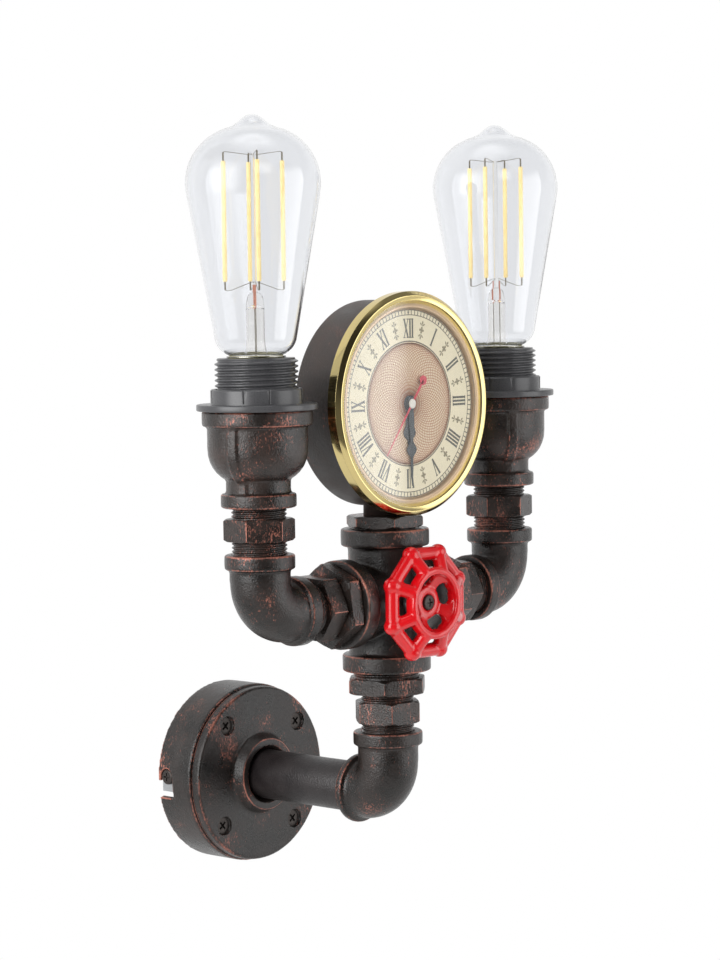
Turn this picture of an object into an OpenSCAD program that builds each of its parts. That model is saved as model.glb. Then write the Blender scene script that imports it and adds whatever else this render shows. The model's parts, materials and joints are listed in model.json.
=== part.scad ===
// Wall light made of black pipe fittings, with two bare lamps, a clock on top and a valve handwheel in front.
// The origin is the middle of the base's back, on the wall. Z is up and the light stands out along -Y.

/* [Wall base] */
// Outside diameter of the wall cup
cup_d = 92.4; // [86:0.2:104]
// Depth of the wall cup from the wall
cup_depth = 23.5; // [19:0.5:30]
// Wall thickness of the wall cup
cup_wall = 2.5; // [2:0.25:3.5]
// Radius of the wall cup's front edge
cup_round = 1; // [0.5:0.25:2]
// Diameter of the wire hole in the wall cup's front
wire_hole_d = 18; // [15:0.5:20]
// How much narrower the flange plate is than the cup, on each side
flange_inset = 1.1; // [0.5:0.1:3]
// Thickness of the flange plate
flange_t = 5.7; // [4.8:0.1:8]
// Radius of the flange plate's front edge
flange_round = 1.5; // [0.5:0.1:2.5]
// Diameter of the flange hub at its root
hub_d = 42; // [39:0.5:48]
// Diameter of the flange hub at its tip
hub_tip_d = 37; // [34:0.5:38.5]
// Height of the flange hub
hub_h = 5.5; // [4.5:0.5:9]
// Diameter of the open mouth at the hub's tip
hub_mouth_d = 30; // [27:0.5:32]
// Depth of the open mouth at the hub's tip
hub_mouth_depth = 3; // [2:0.5:4]
// Turn of the base about the arm pipe
flange_turn = 3.8; // [0:0.1:10]
// Distance from the flange plate's edge to its screws
flange_screw_inset = 8.8; // [8:0.1:14]
// Diameter of the flange screws' shanks
flange_screw_d = 4.2; // [3.5:0.1:5]
// Diameter of the flange screws' heads
flange_head_d = 9; // [8:0.1:9.6]
// Depth of the cross in the flange screws' heads
flange_cross_depth = 1.6; // [1:0.1:2]
// Diameter of the countersinks at the flange's face
countersink_d = 12; // [10.5:0.1:13]
// Diameter of the screw bosses inside the wall cup
boss_d = 8; // [7:0.25:10]
// Height of the screw bosses inside the wall cup
boss_h = 5; // [3:0.5:8]

/* [Wall bracket] */
// Width of the bracket strap
bracket_w = 13; // [11:0.5:18]
// Thickness of the bracket strap
bracket_t = 1.5; // [1.2:0.1:2.5]
// Distance between the two wall screw slots
slot_spacing = 48; // [44:1:56]
// Width of each wall screw slot
wall_slot_w = 4.5; // [4:0.1:5.5]
// Length of each wall screw slot
wall_slot_len = 12; // [8:0.5:12]
// Distance from the wall to the bayonet slots in the cup's side
slot_lip = 1.5; // [1:0.25:3]
// Head diameter of the bracket screws, which lie in the bayonet slots
bracket_head_d = 7.8; // [7:0.1:9]
// Head height of the bracket screws
bracket_head_h = 2.6; // [2:0.1:3]
// Shank diameter of the bracket screws
bracket_screw_d = 4; // [3:0.5:5]
// How far the locked screws lie off the cup's level line
screw_rise = 1.4; // [0:0.1:2]
// How far the cup turns from the slot's entry to the locked screw
slot_turn = 6.4; // [5:0.1:9]
// How far the screw tabs reach past the screws, away from the wall
tab_reach = 5; // [4:0.5:8]
// Length of the terminal block
terminal_len = 28; // [24:1:32]
// Width of the terminal block
terminal_w = 15; // [12:0.5:18]
// Height of the terminal block
terminal_h = 11; // [8:0.5:12]
// Diameter of the terminal block's wire ways
terminal_way_d = 4.2; // [3.8:0.1:5]

/* [Arm] */
// Distance from the wall to the upright pipe run
arm_reach = 119; // [100:0.5:150]
// Outside diameter of the arm pipe
pipe_d = 25.3; // [24:0.1:26.4]
// Inside diameter of the arm pipe
pipe_bore = 20.6; // [18:0.1:22]

/* [Threads and clearances] */
// Outside diameter of the small pipe thread
thread_d = 26.4; // [25.5:0.1:27]
// Outside diameter of the large pipe thread
big_thread_d = 33.2; // [32.5:0.1:33.6]
// Length of thread that is screwed into a fitting
engage = 11; // [9:0.5:13]
// Radial gap between a thread and its hole
thread_gap = 0.1; // [0.05:0.05:0.2]
// Radial gap of a turning fit
turn_gap = 0.05; // [0.03:0.01:0.1]
// Gap around a piece that slides or drops in
slide_gap = 0.3; // [0.2:0.05:0.5]

/* [Elbows] */
// Body diameter of the lower elbow
low_body_d = 29.8; // [29.2:0.1:31]
// Band diameter of the lower elbow
low_band_d = 34.6; // [33.5:0.1:37]
// Radius left in the throat of the lower elbow
low_throat = 0.6; // [0.4:0.1:4]
// Width of the lower elbow's upper band
low_up_band_w = 7; // [5:0.2:9]
// Width of the lower elbow's rear band
low_back_band_w = 3.8; // [3:0.2:6]
// Straight neck below the lower elbow's upper band
low_up_neck = 7.3; // [6:0.1:10]
// Straight neck before the lower elbow's rear band
low_back_neck = 0.5; // [0.3:0.1:6]
// Body diameter of the side elbows
side_body_d = 28.8; // [28.2:0.1:31]
// Band diameter of the side elbows
side_band_d = 33.7; // [32.5:0.1:36]
// Radius left in the throat of the side elbows
side_throat = 2; // [0.5:0.1:4]
// Band width of the side elbows
side_band_w = 7.2; // [5:0.2:9]
// Straight neck below the side elbows' upper band
side_up_neck = 4.5; // [3:0.1:8]
// Straight neck before the side elbows' inner band
side_in_neck = 1.5; // [0.5:0.1:6]
// Diameter of the way through an elbow's bend
elbow_way_d = 22; // [18:0.5:23]
// Fillet where a body runs into its band
band_fillet = 1.2; // [0.5:0.1:2]
// Rounding of a band's corners
band_round = 1; // [0.4:0.1:1.4]

/* [Cross] */
// Body diameter of the cross
cross_body_d = 37; // [36.4:0.1:40]
// Diameter of the swell at the middle of the cross
cross_swell_d = 41; // [40:0.2:43]
// Band diameter of the cross
cross_band_d = 44; // [42:0.2:48]
// Band width of the cross
cross_band_w = 8.7; // [7:0.1:10]
// Straight neck between the cross's body and a band
cross_neck = 7.1; // [5:0.1:12]
// Diameter of the way through the cross
cross_way_d = 29; // [26:0.5:30]

/* [Hexagon fittings] */
// Width across flats of the nipples
nipple_af = 30; // [28:0.5:33]
// Height of the nipples' hexagon
nipple_hex_h = 10.6; // [8:0.2:13]
// Bore of the nipples
nipple_bore = 20; // [17:0.5:22]
// Width across flats of the bushings
bushing_af = 36.5; // [35:0.5:40]
// Height of the bushings' hexagon
bushing_hex_h = 7.6; // [6:0.2:10]
// Thread left open between the lower elbow and its nipple
low_thread = 4.4; // [2:0.2:8]
// Thread left open between the lower nipple and its bushing
mid_thread = 4.2; // [2:0.2:8]
// Thread left open between the lower bushing and the cross
bushing_thread = 3.4; // [1:0.1:6]
// Thread left open between the cross and a side bushing
side_bushing_thread = 0.6; // [0.4:0.1:4]
// Thread left open between a side bushing and its nipple
side_nipple_thread = 0.9; // [0.4:0.1:4]
// Thread left open between a side elbow and its riser
riser_thread = 6.4; // [3:0.2:10]
// Thread left open between a riser and its bell
bell_thread = 5.2; // [3:0.2:10]
// Width across flats of the top plug
plug_af = 34.2; // [33.8:0.1:38]
// Height of the top plug's hexagon
plug_hex_h = 5.6; // [5:0.1:9]
// Thread left open between the cross and the top plug
plug_thread = 0.8; // [0.6:0.1:4]
// Turn of the lower nipple's hexagon about the pipe run
low_nipple_turn = 50; // [0:0.5:60]
// Turn of the lower bushing's hexagon about the pipe run
low_bushing_turn = 39; // [0:0.5:60]
// Turn of the top plug's hexagon about the pipe run
plug_turn = 57; // [0:0.5:60]
// Turn of the side bushings' hexagons about the side run
side_bushing_turn = 51.5; // [0:0.5:60]
// Turn of the side nipples' hexagons about the side run
side_nipple_turn = 33; // [0:0.5:60]
// Turn of the left riser's hexagon
left_riser_turn = 24; // [0:0.5:60]
// Turn of the right riser's hexagon
right_riser_turn = 40.5; // [0:0.5:60]

/* [Bells] */
// Diameter of the bells' lower band
bell_band_d = 36; // [34:0.2:38]
// Height of the bells' lower band
bell_band_h = 6.8; // [5:0.1:9]
// Diameter of the bells' neck
bell_neck_d = 30.8; // [30:0.1:33]
// Height of the bells' neck
bell_neck_h = 6.5; // [5:0.1:9]
// Diameter of the bells' body
bell_body_d = 47.8; // [46.5:0.1:50]
// Height of the bells' round shoulder
bell_shoulder_h = 14.6; // [12:0.1:18]
// Height of the bells' straight body
bell_body_h = 10.9; // [8:0.1:20]
// Diameter of the bells' rim
bell_rim_d = 52.6; // [51:0.1:56]
// Height of the bells' rim
bell_rim_h = 7.3; // [5:0.1:10]
// Distance from the shoulder's top down to the ledge that carries the holder
bell_ledge = 2.6; // [1:0.1:3]
// Diameter of the wire way below the bells' ledge
bell_way_d = 24; // [20:0.5:25]
// Width of the bells' two cast ribs
rib_w = 5; // [3:0.2:7]
// Height of the bells' cast ribs
rib_rise = 1; // [0.6:0.1:1.2]
// Turn of the left bell's ribs
left_rib_turn = 15; // [0:1:180]
// Turn of the right bell's ribs
right_rib_turn = 121; // [0:1:180]

/* [Lamp holders] */
// Diameter over the holder's sleeve thread
holder_d = 39.6; // [38:0.1:40]
// How far the holder stands above the bell
holder_stand = 24.7; // [22:0.1:30]
// Bore of the holder above its floor
holder_bore = 28.8; // [28.6:0.1:30]
// Thickness of the holder's floor
holder_floor = 2.5; // [2:0.1:4]
// Diameter of the wiring space under the holder's floor
holder_under_d = 26; // [22:0.5:30]
// Width of the ring nut's flange round its collar
ring_flange_w = 6.75; // [5:0.05:8]
// Thickness of the ring nut's flange
ring_flange_t = 3.1; // [2.4:0.1:4]
// Wall of the ring nut's collar, thread included
ring_wall = 2.2; // [1.6:0.1:4]
// Height of the ring nut's collar
ring_collar_h = 7.1; // [5:0.1:9]
// Number of grips round the ring nut, each with a groove on both sides
ring_grips = 4; // [3:1:8]
// Angle between the two grooves of a grip
grip_angle = 32; // [20:1:40]
// Diameter of the round cutter that makes a grip groove
groove_d = 1.2; // [0.8:0.1:1.6]
// Height of the spring contact on the holder's floor
contact_h = 1.8; // [1.2:0.1:2.5]
// Gap between the spring contact and the bulb
contact_gap = 0.2; // [0.2:0.05:0.5]
// Thickness of the screw shell's sheet
shell_t = 0.5; // [0.4:0.05:0.6]
// How far the screw shell ends below the holder's top
shell_drop = 6; // [4:0.5:9]

/* [Bulbs] */
// Largest diameter of the glass
bulb_d = 64; // [58:0.5:70]
// Height of the bulb above the holder
bulb_stand = 114.2; // [112.5:0.1:120]
// Height of the glass's widest line above the holder
bulb_wide_z = 82; // [78:0.5:84]
// Radius of the glass's dome
dome_r = 27; // [25:0.5:28]
// Angle at which the dome runs into the sealed tip
dome_end = 72; // [68:1:74]
// Radius of the glass's lower curve
foot_r = 10.5; // [9.5:0.1:11]
// Distance of the lower curve's centre from the bulb's axis
foot_x = 9.1; // [8.5:0.1:9.6]
// Height of the lower curve's end above the holder
foot_lift = 0.6; // [0.4:0.1:1]
// Wall of the glass
glass_t = 0.9; // [0.6:0.1:1.2]
// Radius of the sealed tip
tip_r = 4.6; // [4:0.1:5]
// Diameter of the glass neck in the cap
glass_neck_d = 25.2; // [24.6:0.1:25.3]
// Length of the glass neck in the cap
glass_neck_len = 13; // [8:0.5:16]
// Diameter of the screw cap
cap_d = 26.1; // [25.8:0.1:26.3]
// Depth of the screw cap below the holder's top
cap_depth = 28.5; // [27:0.1:29]
// Diameter of the cap's lower contact
button_d = 9.6; // [8:0.1:11]
// Diameter of the cap's rim
cap_rim_d = 28; // [27:0.1:28.2]
// Height of the cap's rim above the holder
cap_rim_z = 0.9; // [0.6:0.1:1.5]
// Diameter of the glass stem
stem_d = 8.8; // [7:0.2:10]
// Height of the stem's pinched top above the holder
press_z = 31; // [28:0.5:33]
// Diameter of the support rod
rod_d = 2.2; // [1.6:0.1:3]
// Height of the support rod above the holder
rod_top = 96; // [94:0.5:100]
// Number of light sticks
sticks = 4; // [3:1:6]
// Diameter of each light stick
stick_d = 1.8; // [1.2:0.1:2.4]
// Distance of the light sticks from the bulb's axis
stick_ring = 14; // [10:0.5:15]
// Height of the light sticks' lower ends above the holder
stick_low = 34.5; // [33.5:0.5:40]
// Height of the light sticks' upper ends above the holder
stick_high = 92.5; // [80:0.5:93.5]
// Turn of the left bulb's sticks
left_stick_turn = 53.5; // [0:0.1:90]
// Turn of the right bulb's sticks
right_stick_turn = 70.7; // [0:0.1:90]
// Diameter of the support wires
wire_d = 0.7; // [0.5:0.1:1]

/* [Clock] */
// Diameter of the clock drum
drum_d = 102; // [94:0.5:110]
// Wall of the clock drum
drum_wall = 1.2; // [1:0.1:2]
// Reach of the drum behind the upright pipe run
drum_back = 11.5; // [11:0.1:16]
// Reach of the drum in front of the upright pipe run
drum_front = 14.5; // [14:0.1:20]
// Gap between the bezel and the top plug below it
bezel_clear = 0.4; // [0.3:0.1:3]
// Diameter of the drum's foot
drum_foot_d = 21; // [19:0.5:26]
// Height of the bolt's pad inside the drum
pad_rise = 1.4; // [1:0.1:2]
// Diameter of the drum bolt
bolt_d = 10; // [8:0.5:12]
// Wire way through the drum bolt
bolt_bore = 5; // [3:0.5:6]
// Width across flats of the drum bolt's head and nut
bolt_af = 15; // [14:0.5:17]
// Height of the drum bolt's head
bolt_head_h = 4; // [3:0.5:6]
// Height of the drum nut
nut_h = 5; // [4:0.5:7]
// Gap between the bezel and the ring nuts beside it
clock_side_gap = 3.95; // [3:0.05:8]
// How far the bezel stands out beyond the drum
bezel_overhang = 4.1; // [3:0.1:6]
// Depth of the bezel
bezel_depth = 7.3; // [7:0.1:10]
// Width of the bezel's inner rim
bezel_rim_w = 1.4; // [1:0.1:2]
// Depth of the hollow round the bezel's face
bezel_hollow = 0.9; // [0.5:0.1:1.4]
// Overlap of the bezel's lip on the lens
lens_lip = 0.9; // [0.6:0.1:1.5]
// Thickness of the bezel's lip in front of the lens
lip_t = 0.5; // [0.4:0.1:0.8]
// Thickness of the lens
lens_t = 1.4; // [1:0.1:1.8]
// Space between the dial and the lens
dial_space = 2.8; // [2.7:0.1:4]
// Width of the sloping ring round the dial
dial_ring_w = 4.4; // [3:0.1:6]
// Thickness of the dial plate
dial_t = 0.8; // [0.5:0.1:1]
// Gap between the clock case's wall and the drum
case_gap = 2.3; // [2:0.1:3]
// Depth of the clock case behind the drum's front
case_depth = 6; // [5:0.5:6]
// Wall of the clock case
case_wall = 1.5; // [1:0.1:2]
// Width of the rubber ring round the clock case
gasket_w = 3.4; // [2:0.1:3.6]
// Side of the square movement box
movement_w = 56; // [54:0.5:60]
// Depth of the movement box
movement_depth = 16; // [15.6:0.1:17]
// Corner radius of the movement box
movement_round = 3; // [1:0.5:5]
// Diameter of the movement's bush in the dial
bush_d = 8; // [7:0.1:9]
// Diameter of the battery
battery_d = 14.2; // [13.5:0.1:14.5]
// Length of the battery with its contact
battery_len = 50.4; // [49:0.1:50.5]
// Distance of the battery below the movement's middle
battery_drop = 17; // [15:0.5:19]
// Diameter of the setting knob
knob_d = 13; // [10:0.5:16]
// Height of the setting knob
knob_h = 3.2; // [2.5:0.1:6]
// Thickness of a clock hand
hand_t = 0.3; // [0.2:0.05:0.35]
// Gap between the hands, and between them and the dial
hand_gap = 0.35; // [0.3:0.05:0.4]
// Length of the hour hand
hour_len = 20.5; // [17:0.5:28]
// Widest part of the hour hand
hour_w = 8; // [5:0.5:10]
// Length of the minute hand
minute_len = 40; // [32:0.5:42]
// Widest part of the minute hand
minute_w = 6.6; // [4:0.2:8]
// Length of the second hand
second_len = 31; // [24:0.5:40]
// Distance of the second hand's counterweight from the middle
counter_x = 14; // [10:0.5:18]
// Diameter of the second hand's counterweight
counter_d = 4.7; // [3:0.1:6]
// Diameter of the second hand's cap
second_cap_d = 4.5; // [3:0.1:6]
// Height of the second hand's cap
second_cap_h = 0.55; // [0.3:0.05:0.6]
// Angle of the hour hand, clockwise from twelve
hour_angle = 183; // [0:1:360]
// Angle of the minute hand, clockwise from twelve
minute_angle = 180; // [0:1:360]
// Angle of the second hand, clockwise from twelve
second_angle = 217; // [0:1:360]
// Diameter of the hour hand's pipe
hour_pipe_d = 5; // [4.6:0.1:5.4]
// Diameter of the minute hand's arbor
minute_arbor_d = 3; // [2.6:0.1:3.2]
// Diameter of the second hand's pin
second_pin_d = 1.4; // [1:0.1:1.6]

/* [Handwheel] */
// Diameter of the handwheel over its corners, measured to the rim's middle
wheel_d = 51.5; // [48:0.5:58]
// Diameter of the rim bars
rim_d = 5.2; // [4:0.1:6]
// Diameter of the knobs at the rim's corners
wheel_knob_d = 7; // [5.6:0.1:8]
// Number of corners and spokes
wheel_sides = 8; // [6:1:10]
// Distance from the upright pipe run to the rim's middle plane
rim_front = 26.1; // [25:0.1:30]
// How far the inner ring stands in front of the rim
wheel_dish = 5.8; // [4:0.1:8]
// Outside diameter of the inner ring
inner_ring_d = 34; // [31:0.5:37]
// Inside diameter of the inner ring
inner_ring_bore = 29; // [26:0.5:30]
// Depth of the inner ring
inner_ring_depth = 5; // [4:0.1:6]
// Diameter of the rim spokes
spoke_d = 5.2; // [3.5:0.1:5.5]
// Thickness of the dished web between the hub and the inner ring
web_t = 3.2; // [2.6:0.1:4]
// Height of the web's root above the hub's back
web_lift = 0.8; // [0.4:0.1:1.2]
// Number of openings in the web
web_holes = 4; // [3:1:5]
// Width of each opening at its ends
web_hole_w = 5.6; // [4.5:0.1:5.8]
// How much wider each opening is in its middle
web_hole_swell = 0.8; // [0.4:0.1:1]
// Angle round the hub from one end of an opening to the other
web_hole_run = 32; // [24:1:36]
// Turn of the openings about the spindle
web_hole_turn = 20; // [0:1:90]
// Diameter of the wheel's hub
wheel_hub_d = 15.4; // [14:0.2:18]
// Depth of the wheel's hub
wheel_hub_h = 6; // [5:0.1:8]
// Diameter of the spindle
spindle_d = 6; // [5:0.1:6.4]
// Diameter of the spindle's collar
collar_d = 10; // [9:0.1:11]
// Width of the spindle's collar
collar_w = 2.2; // [1.5:0.1:3]
// Diameter of the gland nut's thread
gland_d = 12; // [11.4:0.1:13]
// Width across flats of the gland nut
gland_af = 15; // [14:0.5:16]
// Height of the gland nut's hexagon
gland_hex_h = 3.3; // [2.5:0.1:4]
// Length of the gland nut's thread
gland_len = 5; // [4:0.1:5.5]
// Length of the spindle behind its collar
spindle_tail = 1; // [0.5:0.1:3]
// Depth of the recess for the wheel screw's head
head_recess = 1.2; // [0.8:0.1:1.6]
// Thickness of the hub under the wheel screw's head
screw_seat_t = 1.4; // [1:0.1:2]
// Diameter of the wheel screw
wheel_screw_d = 4; // [3:0.5:4]
// Diameter of the wheel screw's head
wheel_head_d = 7.7; // [6.5:0.1:8.5]
// Height of the wheel screw's head
wheel_head_h = 2.4; // [2:0.1:3]

/* [Leads] */
// Diameter of a lead
lead_d = 3.6; // [3:0.1:4]
// Distance of the leads from the middle of the pipe
lead_x = 3.5; // [3:0.1:5]
// How far the leads loop above the terminal block
lead_loop = 6; // [5:0.5:8]
// Gap from the wall cup's front to the leads' middle
lead_gap = 3; // [2.4:0.1:4]
// Number of sides of a lead
lead_sides = 8; // [6:1:12]
// Number of steps in a lead's corner
corner_steps = 4; // [3:1:6]

/* [Hidden] */
$fn = 64;

iron = "#2b2726";
brass = "#c9a24a";
black_plastic = "#303032";
nickel = "#b8b8b4";
zinc = "#c4c6c8";
eps = 0.5;

// Wall base
cross_share = 0.55;
cup_r = cup_d / 2;
cup_in = cup_r - cup_wall;
cup_floor = cup_depth - cup_wall;
flange_r = cup_r - flange_inset;
flange_screw_ring = flange_r - flange_screw_inset;
flange_screw_r = flange_screw_d / 2;
flange_front = cup_depth + flange_t;
head_sink = (countersink_d - flange_head_d) / 2;
bayonet_w = bracket_head_d + 2 * slide_gap;
bayonet_d = slot_lip + bayonet_w / 2;
tab_face = sqrt(cup_in * cup_in - bracket_w * bracket_w / 4) - slide_gap;
earth_screw_x = (slot_spacing / 2 + wall_slot_len / 2 + tab_face - bracket_t) / 2;
pipe_r = pipe_d / 2;

// Pipe run: heights along the upright, and distances from it along the side run
thread_r = thread_d / 2;
big_thread_r = big_thread_d / 2;
low_bend = low_body_d / 2 + low_throat;
low_up = low_bend + low_up_neck + band_fillet + low_up_band_w;
low_back = low_bend + low_back_neck + band_fillet + low_back_band_w;
side_bend = side_body_d / 2 + side_throat;
side_up = side_bend + side_up_neck + band_fillet + side_band_w;
side_in = side_bend + side_in_neck + band_fillet + side_band_w;
cross_half = cross_body_d / 2 + cross_neck + band_fillet + cross_band_w;
low_nipple_z = low_up + low_thread;
low_bushing_z = low_nipple_z + nipple_hex_h + mid_thread;
cross_z = low_bushing_z + bushing_hex_h + bushing_thread + cross_half;
plug_z = cross_z + cross_half + plug_thread;
foot_z = plug_z + plug_hex_h;
bezel_r = drum_d / 2 + bezel_overhang;
foot_h = bezel_overhang + bezel_clear;
clock_z = foot_z + foot_h + drum_d / 2;
side_bushing_x = cross_half + side_bushing_thread;
side_nipple_x = side_bushing_x + bushing_hex_h + side_nipple_thread;
ring_collar_r = holder_d / 2 + ring_wall;
ring_flange_r = ring_collar_r + ring_flange_w;
// The lamps stand clear of the bezel, and the open thread beside each side elbow takes up what is left.
lamp_x = bezel_r + clock_side_gap + ring_flange_r;
side_thread = lamp_x - side_in - side_nipple_x - nipple_hex_h;
riser_z = cross_z + side_up + riser_thread;
bell_z = riser_z + nipple_hex_h + bell_thread;
bell_neck_z = bell_band_h + bell_neck_h;
bell_shoulder_z = bell_neck_z + bell_shoulder_h;
bell_rim_z = bell_shoulder_z + bell_body_h;
bell_h = bell_rim_z + bell_rim_h;
ledge_z = bell_shoulder_z - bell_ledge;
shoulder_start = 25;

// Lamp holder and bulb: heights measured from the holder's top
holder_h = bell_h - ledge_z + holder_stand;
holder_top = bell_z + bell_h + holder_stand;
floor_z = -cap_depth - contact_gap - contact_h;
under_z = floor_z - holder_floor;
foot_c = [foot_x, foot_r + foot_lift];
dome_c = [bulb_d / 2 - dome_r, bulb_wide_z];
// Slope of the line that runs along both of the glass's curves
foot_to_dome = dome_c - foot_c;
glass_slope = acos((foot_r - dome_r) / norm(foot_to_dome)) - atan2(foot_to_dome[1], foot_to_dome[0]);

// Clock: distances in front of the upright pipe run
stack_r = drum_d / 2;
bezel_front = drum_front + bezel_depth;
lens_front = bezel_front - lip_t;
lens_back = lens_front - lens_t;
dial_front = lens_back - dial_space;
dial_back = dial_front - dial_t;
drum_in = stack_r - drum_wall;
case_r = drum_in - case_gap;
case_back = drum_front - case_depth;
movement_back = dial_back - movement_depth;
hour_front = dial_front + hand_gap + hand_t;
minute_front = hour_front + hand_gap + hand_t;
second_front = minute_front + hand_gap + hand_t;

// Handwheel: distances in front of the upright pipe run
swell_front = cross_body_d / 2;
gland_back = swell_front - gland_len;
wheel_back = swell_front + gland_hex_h + 2 * slide_gap;
wheel_front = wheel_back + wheel_hub_h;
ring_mid = rim_front + wheel_dish;
spindle_end = wheel_front - head_recess - screw_seat_t;
spindle_back = gland_back - slide_gap - collar_w - spindle_tail;
web_root = 1.5;

// Points along an arc about c, from angle a to angle b
function arc(c, r, a, b, n = 6) = [for (i = [0:n]) let (t = a + (b - a) * i / n) c + r * [cos(t), sin(t)]];

// Turns a piece that is drawn along +Z so that it faces away from the wall
module forward() {
    rotate([90, 0, 0]) children();
}

module at_clock() {
    translate([0, -arm_reach, clock_z]) forward() children();
}

module at_wheel() {
    translate([0, -arm_reach, cross_z]) forward() children();
}

// Puts one piece on the left (side -1) or its mirror image on the right (side 1)
module at_side(side, x, z) {
    translate([0, -arm_reach, z]) mirror([side > 0 ? 1 : 0, 0, 0])
        translate([-x, 0, 0]) children();
}

module tube(r, bore, h) {
    difference() {
        cylinder(r = r, h = h);
        translate([0, 0, -eps]) cylinder(r = bore, h = h + 2 * eps);
    }
}

// Hexagon head with its corners turned off at both faces
module hexagon(af, h) {
    corner = af / sqrt(3);
    ease = 0.3;
    fall = (corner + ease - af / 2) * tan(30);
    intersection() {
        cylinder(r = corner, h = h, $fn = 6);
        rotate_extrude() polygon([[0, 0], [af / 2, 0], [corner + ease, fall], [corner + ease, h - fall],
            [af / 2, h], [0, h]]);
    }
}

module cross_recess(size, depth) {
    bar = size / 5;
    for (turn = [0, 90]) rotate(turn)
        translate([-size / 2, -bar / 2, -depth]) cube([size, bar, depth + eps]);
}

// Wall base

module bayonet_slot() {
    back = cup_in - 2 * slide_gap;
    length = cup_wall + 4 * slide_gap;
    translate([back, -screw_rise, bayonet_d]) rotate([0, 90, 0])
        cylinder(d = bayonet_w, h = length);
    translate([back, -screw_rise, slot_lip]) cube([length, slot_turn + bayonet_w / 2, bayonet_w]);
    translate([back, slot_turn - screw_rise - bayonet_w / 2, -eps])
        cube([length, bayonet_w, bayonet_d + eps]);
}

module flange_screw_places(z) {
    for (turn = [45:90:315]) rotate(turn - flange_turn)
        translate([flange_screw_ring, 0, z]) children();
}

module base_cup() {
    color(iron) forward() difference() {
        union() {
            rotate_extrude() polygon(concat([[cup_in, 0], [cup_r, 0]],
                arc([cup_r - cup_round, cup_depth - cup_round], cup_round, 0, 90),
                [[wire_hole_d / 2, cup_depth], [wire_hole_d / 2, cup_floor], [cup_in, cup_floor]]));
            flange_screw_places(cup_floor - boss_h) cylinder(d = boss_d, h = boss_h + cup_wall / 2);
        }
        flange_screw_places(cup_floor - boss_h - eps)
            cylinder(r = flange_screw_r + thread_gap, h = boss_h + cup_wall + 2 * eps);
        for (turn = [0, 180]) rotate(turn) bayonet_slot();
    }
}

module wall_bracket() {
    color(zinc) forward() difference() {
        union() {
            translate([-tab_face, -bracket_w / 2, 0]) cube([2 * tab_face, bracket_w, bracket_t]);
            for (x = [-tab_face, tab_face - bracket_t])
                translate([x, -bracket_w / 2, 0]) cube([bracket_t, bracket_w, bayonet_d + tab_reach]);
        }
        for (side = [-1, 1]) {
            translate([side * slot_spacing / 2, 0, -eps]) wall_slot();
            translate([side * (tab_face - bracket_t - eps), -side * screw_rise, bayonet_d])
                rotate([0, side * 90, 0]) bracket_hole();
        }
        translate([earth_screw_x, 0, -eps]) bracket_hole();
    }
}

module bracket_hole() {
    cylinder(r = bracket_screw_d / 2 + thread_gap, h = bracket_t + 2 * eps);
}

module wall_slot() {
    straight = wall_slot_len - wall_slot_w;
    for (end = [-straight / 2, straight / 2])
        translate([end, 0, 0]) cylinder(d = wall_slot_w, h = bracket_t + 2 * eps);
    translate([-straight / 2, -wall_slot_w / 2, 0])
        cube([straight, wall_slot_w, bracket_t + 2 * eps]);
}

// Pan head screw with its seat at z 0 and its shank below
module pan_screw(shank) {
    edge = bracket_head_h / 3;
    difference() {
        union() {
            rotate_extrude() polygon(concat([[0, 0], [bracket_head_d / 2, 0]],
                arc([bracket_head_d / 2 - edge, bracket_head_h - edge], edge, 0, 90, 4),
                [[0, bracket_head_h]]));
            translate([0, 0, -shank]) cylinder(d = bracket_screw_d, h = shank + eps);
        }
        translate([0, 0, bracket_head_h]) cross_recess(bracket_head_d * cross_share, bracket_head_h / 2);
    }
}

module bracket_screws() {
    color("#55504c") forward() {
        for (side = [-1, 1])
            translate([side * tab_face, -side * screw_rise, bayonet_d]) rotate([0, side * 90, 0])
                pan_screw(bracket_t + slide_gap);
        translate([earth_screw_x, 0, bracket_t]) pan_screw(bracket_t - slide_gap);
    }
}

module terminal_block() {
    pole = terminal_len / 3;
    half_w = terminal_w / 2;
    way_z = bracket_t + terminal_h / 2;
    way_len = half_w * 0.8;
    driver_hole_d = terminal_way_d * 0.8;
    cut_w = 1;
    color("#e6e3da") forward() difference() {
        translate([-terminal_len / 2, -half_w, bracket_t]) cube([terminal_len, terminal_w, terminal_h]);
        for (i = [-1:1]) {
            translate([i * pole, -half_w - eps, way_z]) rotate([-90, 0, 0])
                cylinder(d = terminal_way_d, h = way_len);
            for (y = [-half_w / 2, half_w / 2])
                translate([i * pole, y, way_z]) cylinder(d = driver_hole_d, h = terminal_h);
        }
        for (x = [-pole / 2, pole / 2])
            translate([x - cut_w / 2, -half_w - eps, way_z + terminal_h / 4])
                cube([cut_w, terminal_w + 2 * eps, terminal_h]);
    }
}

module flange_plate() {
    color(iron) forward() translate([0, 0, cup_depth]) difference() {
        rotate_extrude() polygon(concat([[pipe_r + thread_gap, 0], [flange_r, 0]],
            arc([flange_r - flange_round, flange_t - flange_round], flange_round, 0, 90),
            [[hub_d / 2, flange_t], [hub_tip_d / 2, flange_t + hub_h], [hub_mouth_d / 2, flange_t + hub_h],
            [pipe_r + thread_gap, flange_t + hub_h - hub_mouth_depth]]));
        flange_screw_places(-eps) cylinder(r = flange_screw_r + thread_gap, h = flange_t + 2 * eps);
        flange_screw_places(flange_t - countersink_d / 2)
            cylinder(r1 = 0, r2 = countersink_d / 2, h = countersink_d / 2);
    }
}

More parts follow.
